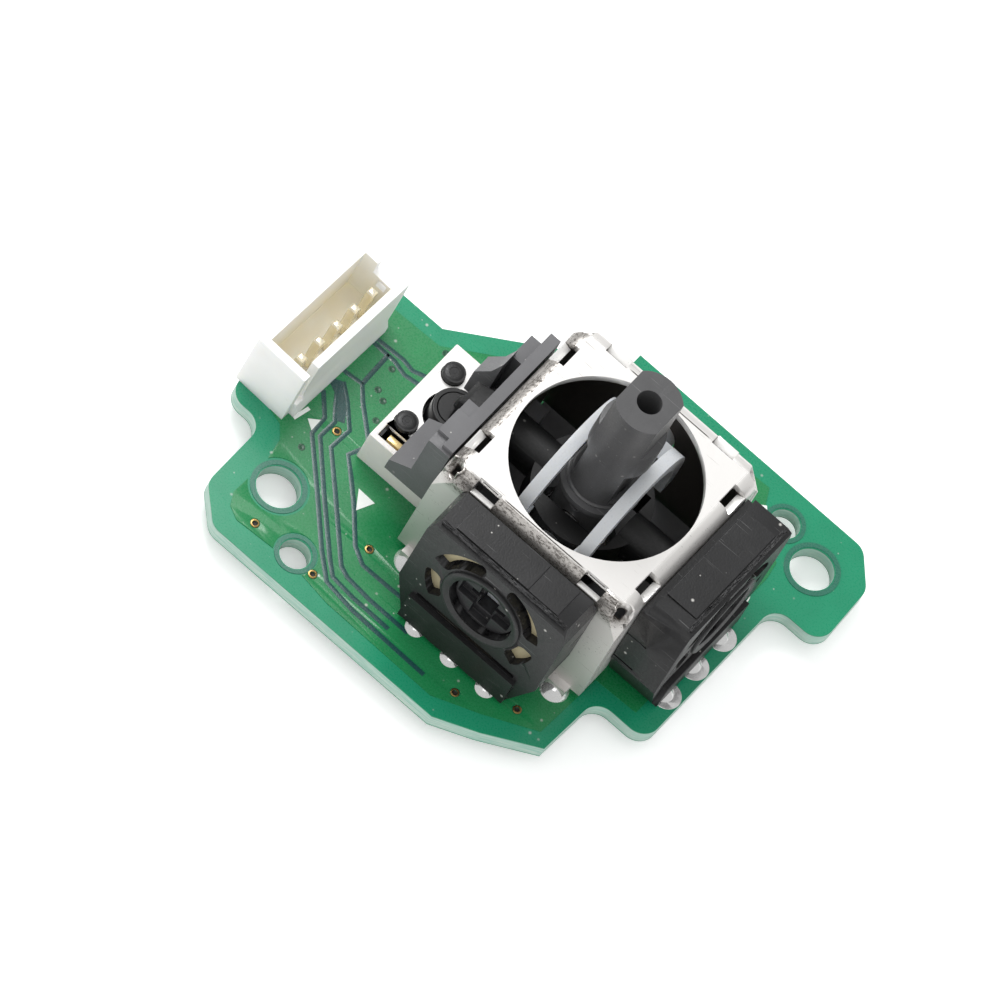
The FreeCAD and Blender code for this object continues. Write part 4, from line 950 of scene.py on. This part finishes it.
# The floor is a sheet of pale paper, a little below the ends of the leads
FLOOR_Z = -1.12 * MM
clear()
bpy.ops.mesh.primitive_plane_add(size=0.8, location=(0, 0, FLOOR_Z))
floor = bpy.context.object
floor.name = "floor"
paper = bpy.data.materials.new("paper_sweep")
paper.use_nodes = True
tree = paper.node_tree
shader = tree.nodes["Principled BSDF"]
shader.inputs["Base Color"].default_value = (0.86, 0.86, 0.86, 1.0)
shader.inputs["Roughness"].default_value = 0.9
seen = add(tree, "ShaderNodeLightPath").outputs["Is Camera Ray"]
lift = maths(tree, "MULTIPLY", seen, 0.4)
glow = add(tree, "ShaderNodeEmission", {"Color": (1, 1, 1, 1), "Strength": lift})
both = add(tree, "ShaderNodeAddShader", {0: shader.outputs[0], 1: glow.outputs[0]})
tree.links.new(both.outputs[0], tree.nodes["Material Output"].inputs["Surface"])
floor.data.materials.append(paper)

# The world is white to the camera, lights the object a little less, and is darker where metal reflects it
world = bpy.data.worlds.new("studio")
bpy.context.scene.world = world
world.use_nodes = True
tree = world.node_tree
tree.nodes.clear()
path = add(tree, "ShaderNodeLightPath").outputs
shown = maths(tree, "MAXIMUM", path["Is Camera Ray"], path["Is Transmission Ray"])
strength = maths(tree, "MAXIMUM", shown, maths(tree, "MULTIPLY_ADD", path["Is Glossy Ray"], -0.34, 0.84))
blend = add(tree, "ShaderNodeBackground", {"Color": (1, 1, 1, 1), "Strength": strength})
output = add(tree, "ShaderNodeOutputWorld")
tree.links.new(blend.outputs[0], output.inputs["Surface"])

# The photograph's viewing angle, and the point that the camera looks at
RIGHT = Vector((0.752, 0.599, 0.276)).normalized()
TOWARD = Vector((0.090, -0.508, 0.857)).normalized()
UP = TOWARD.cross(RIGHT).normalized()
RIGHT = UP.cross(TOWARD).normalized()
AIM = Vector((-2.80, -0.72, 1.26)) * MM


# A square lamp that shines at the object from a direction in the camera's own axes
def lamp(name, across, up, toward, distance, size, power):
    data = bpy.data.lights.new(name, "AREA")
    data.shape = "SQUARE"
    data.size = size
    data.energy = power
    item = bpy.data.objects.new(name, data)
    bpy.context.scene.collection.objects.link(item)
    way = (RIGHT * across + UP * up + TOWARD * toward).normalized()
    item.location = AIM + way * distance
    item.rotation_euler = (-way).to_track_quat("-Z", "Y").to_euler()


lamp("key", 0.05, 0.9, 0.55, distance=0.115, size=0.06, power=0.075)
lamp("fill", 0.1, 0.1, 1.0, distance=0.3, size=0.2, power=0.1)

DISTANCE = 1.3515
camera_data = bpy.data.cameras.new("camera")
camera = bpy.data.objects.new("camera", camera_data)
bpy.context.scene.collection.objects.link(camera)
bpy.context.scene.camera = camera
camera_data.lens = 900
camera_data.sensor_width = 36
camera_data.clip_start = 0.05
camera_data.clip_end = 10
turn = Matrix((RIGHT, UP, TOWARD)).transposed().to_4x4()
camera.matrix_world = Matrix.Translation(AIM + TOWARD * DISTANCE) @ turn

bpy.context.scene.view_settings.view_transform = "Standard"
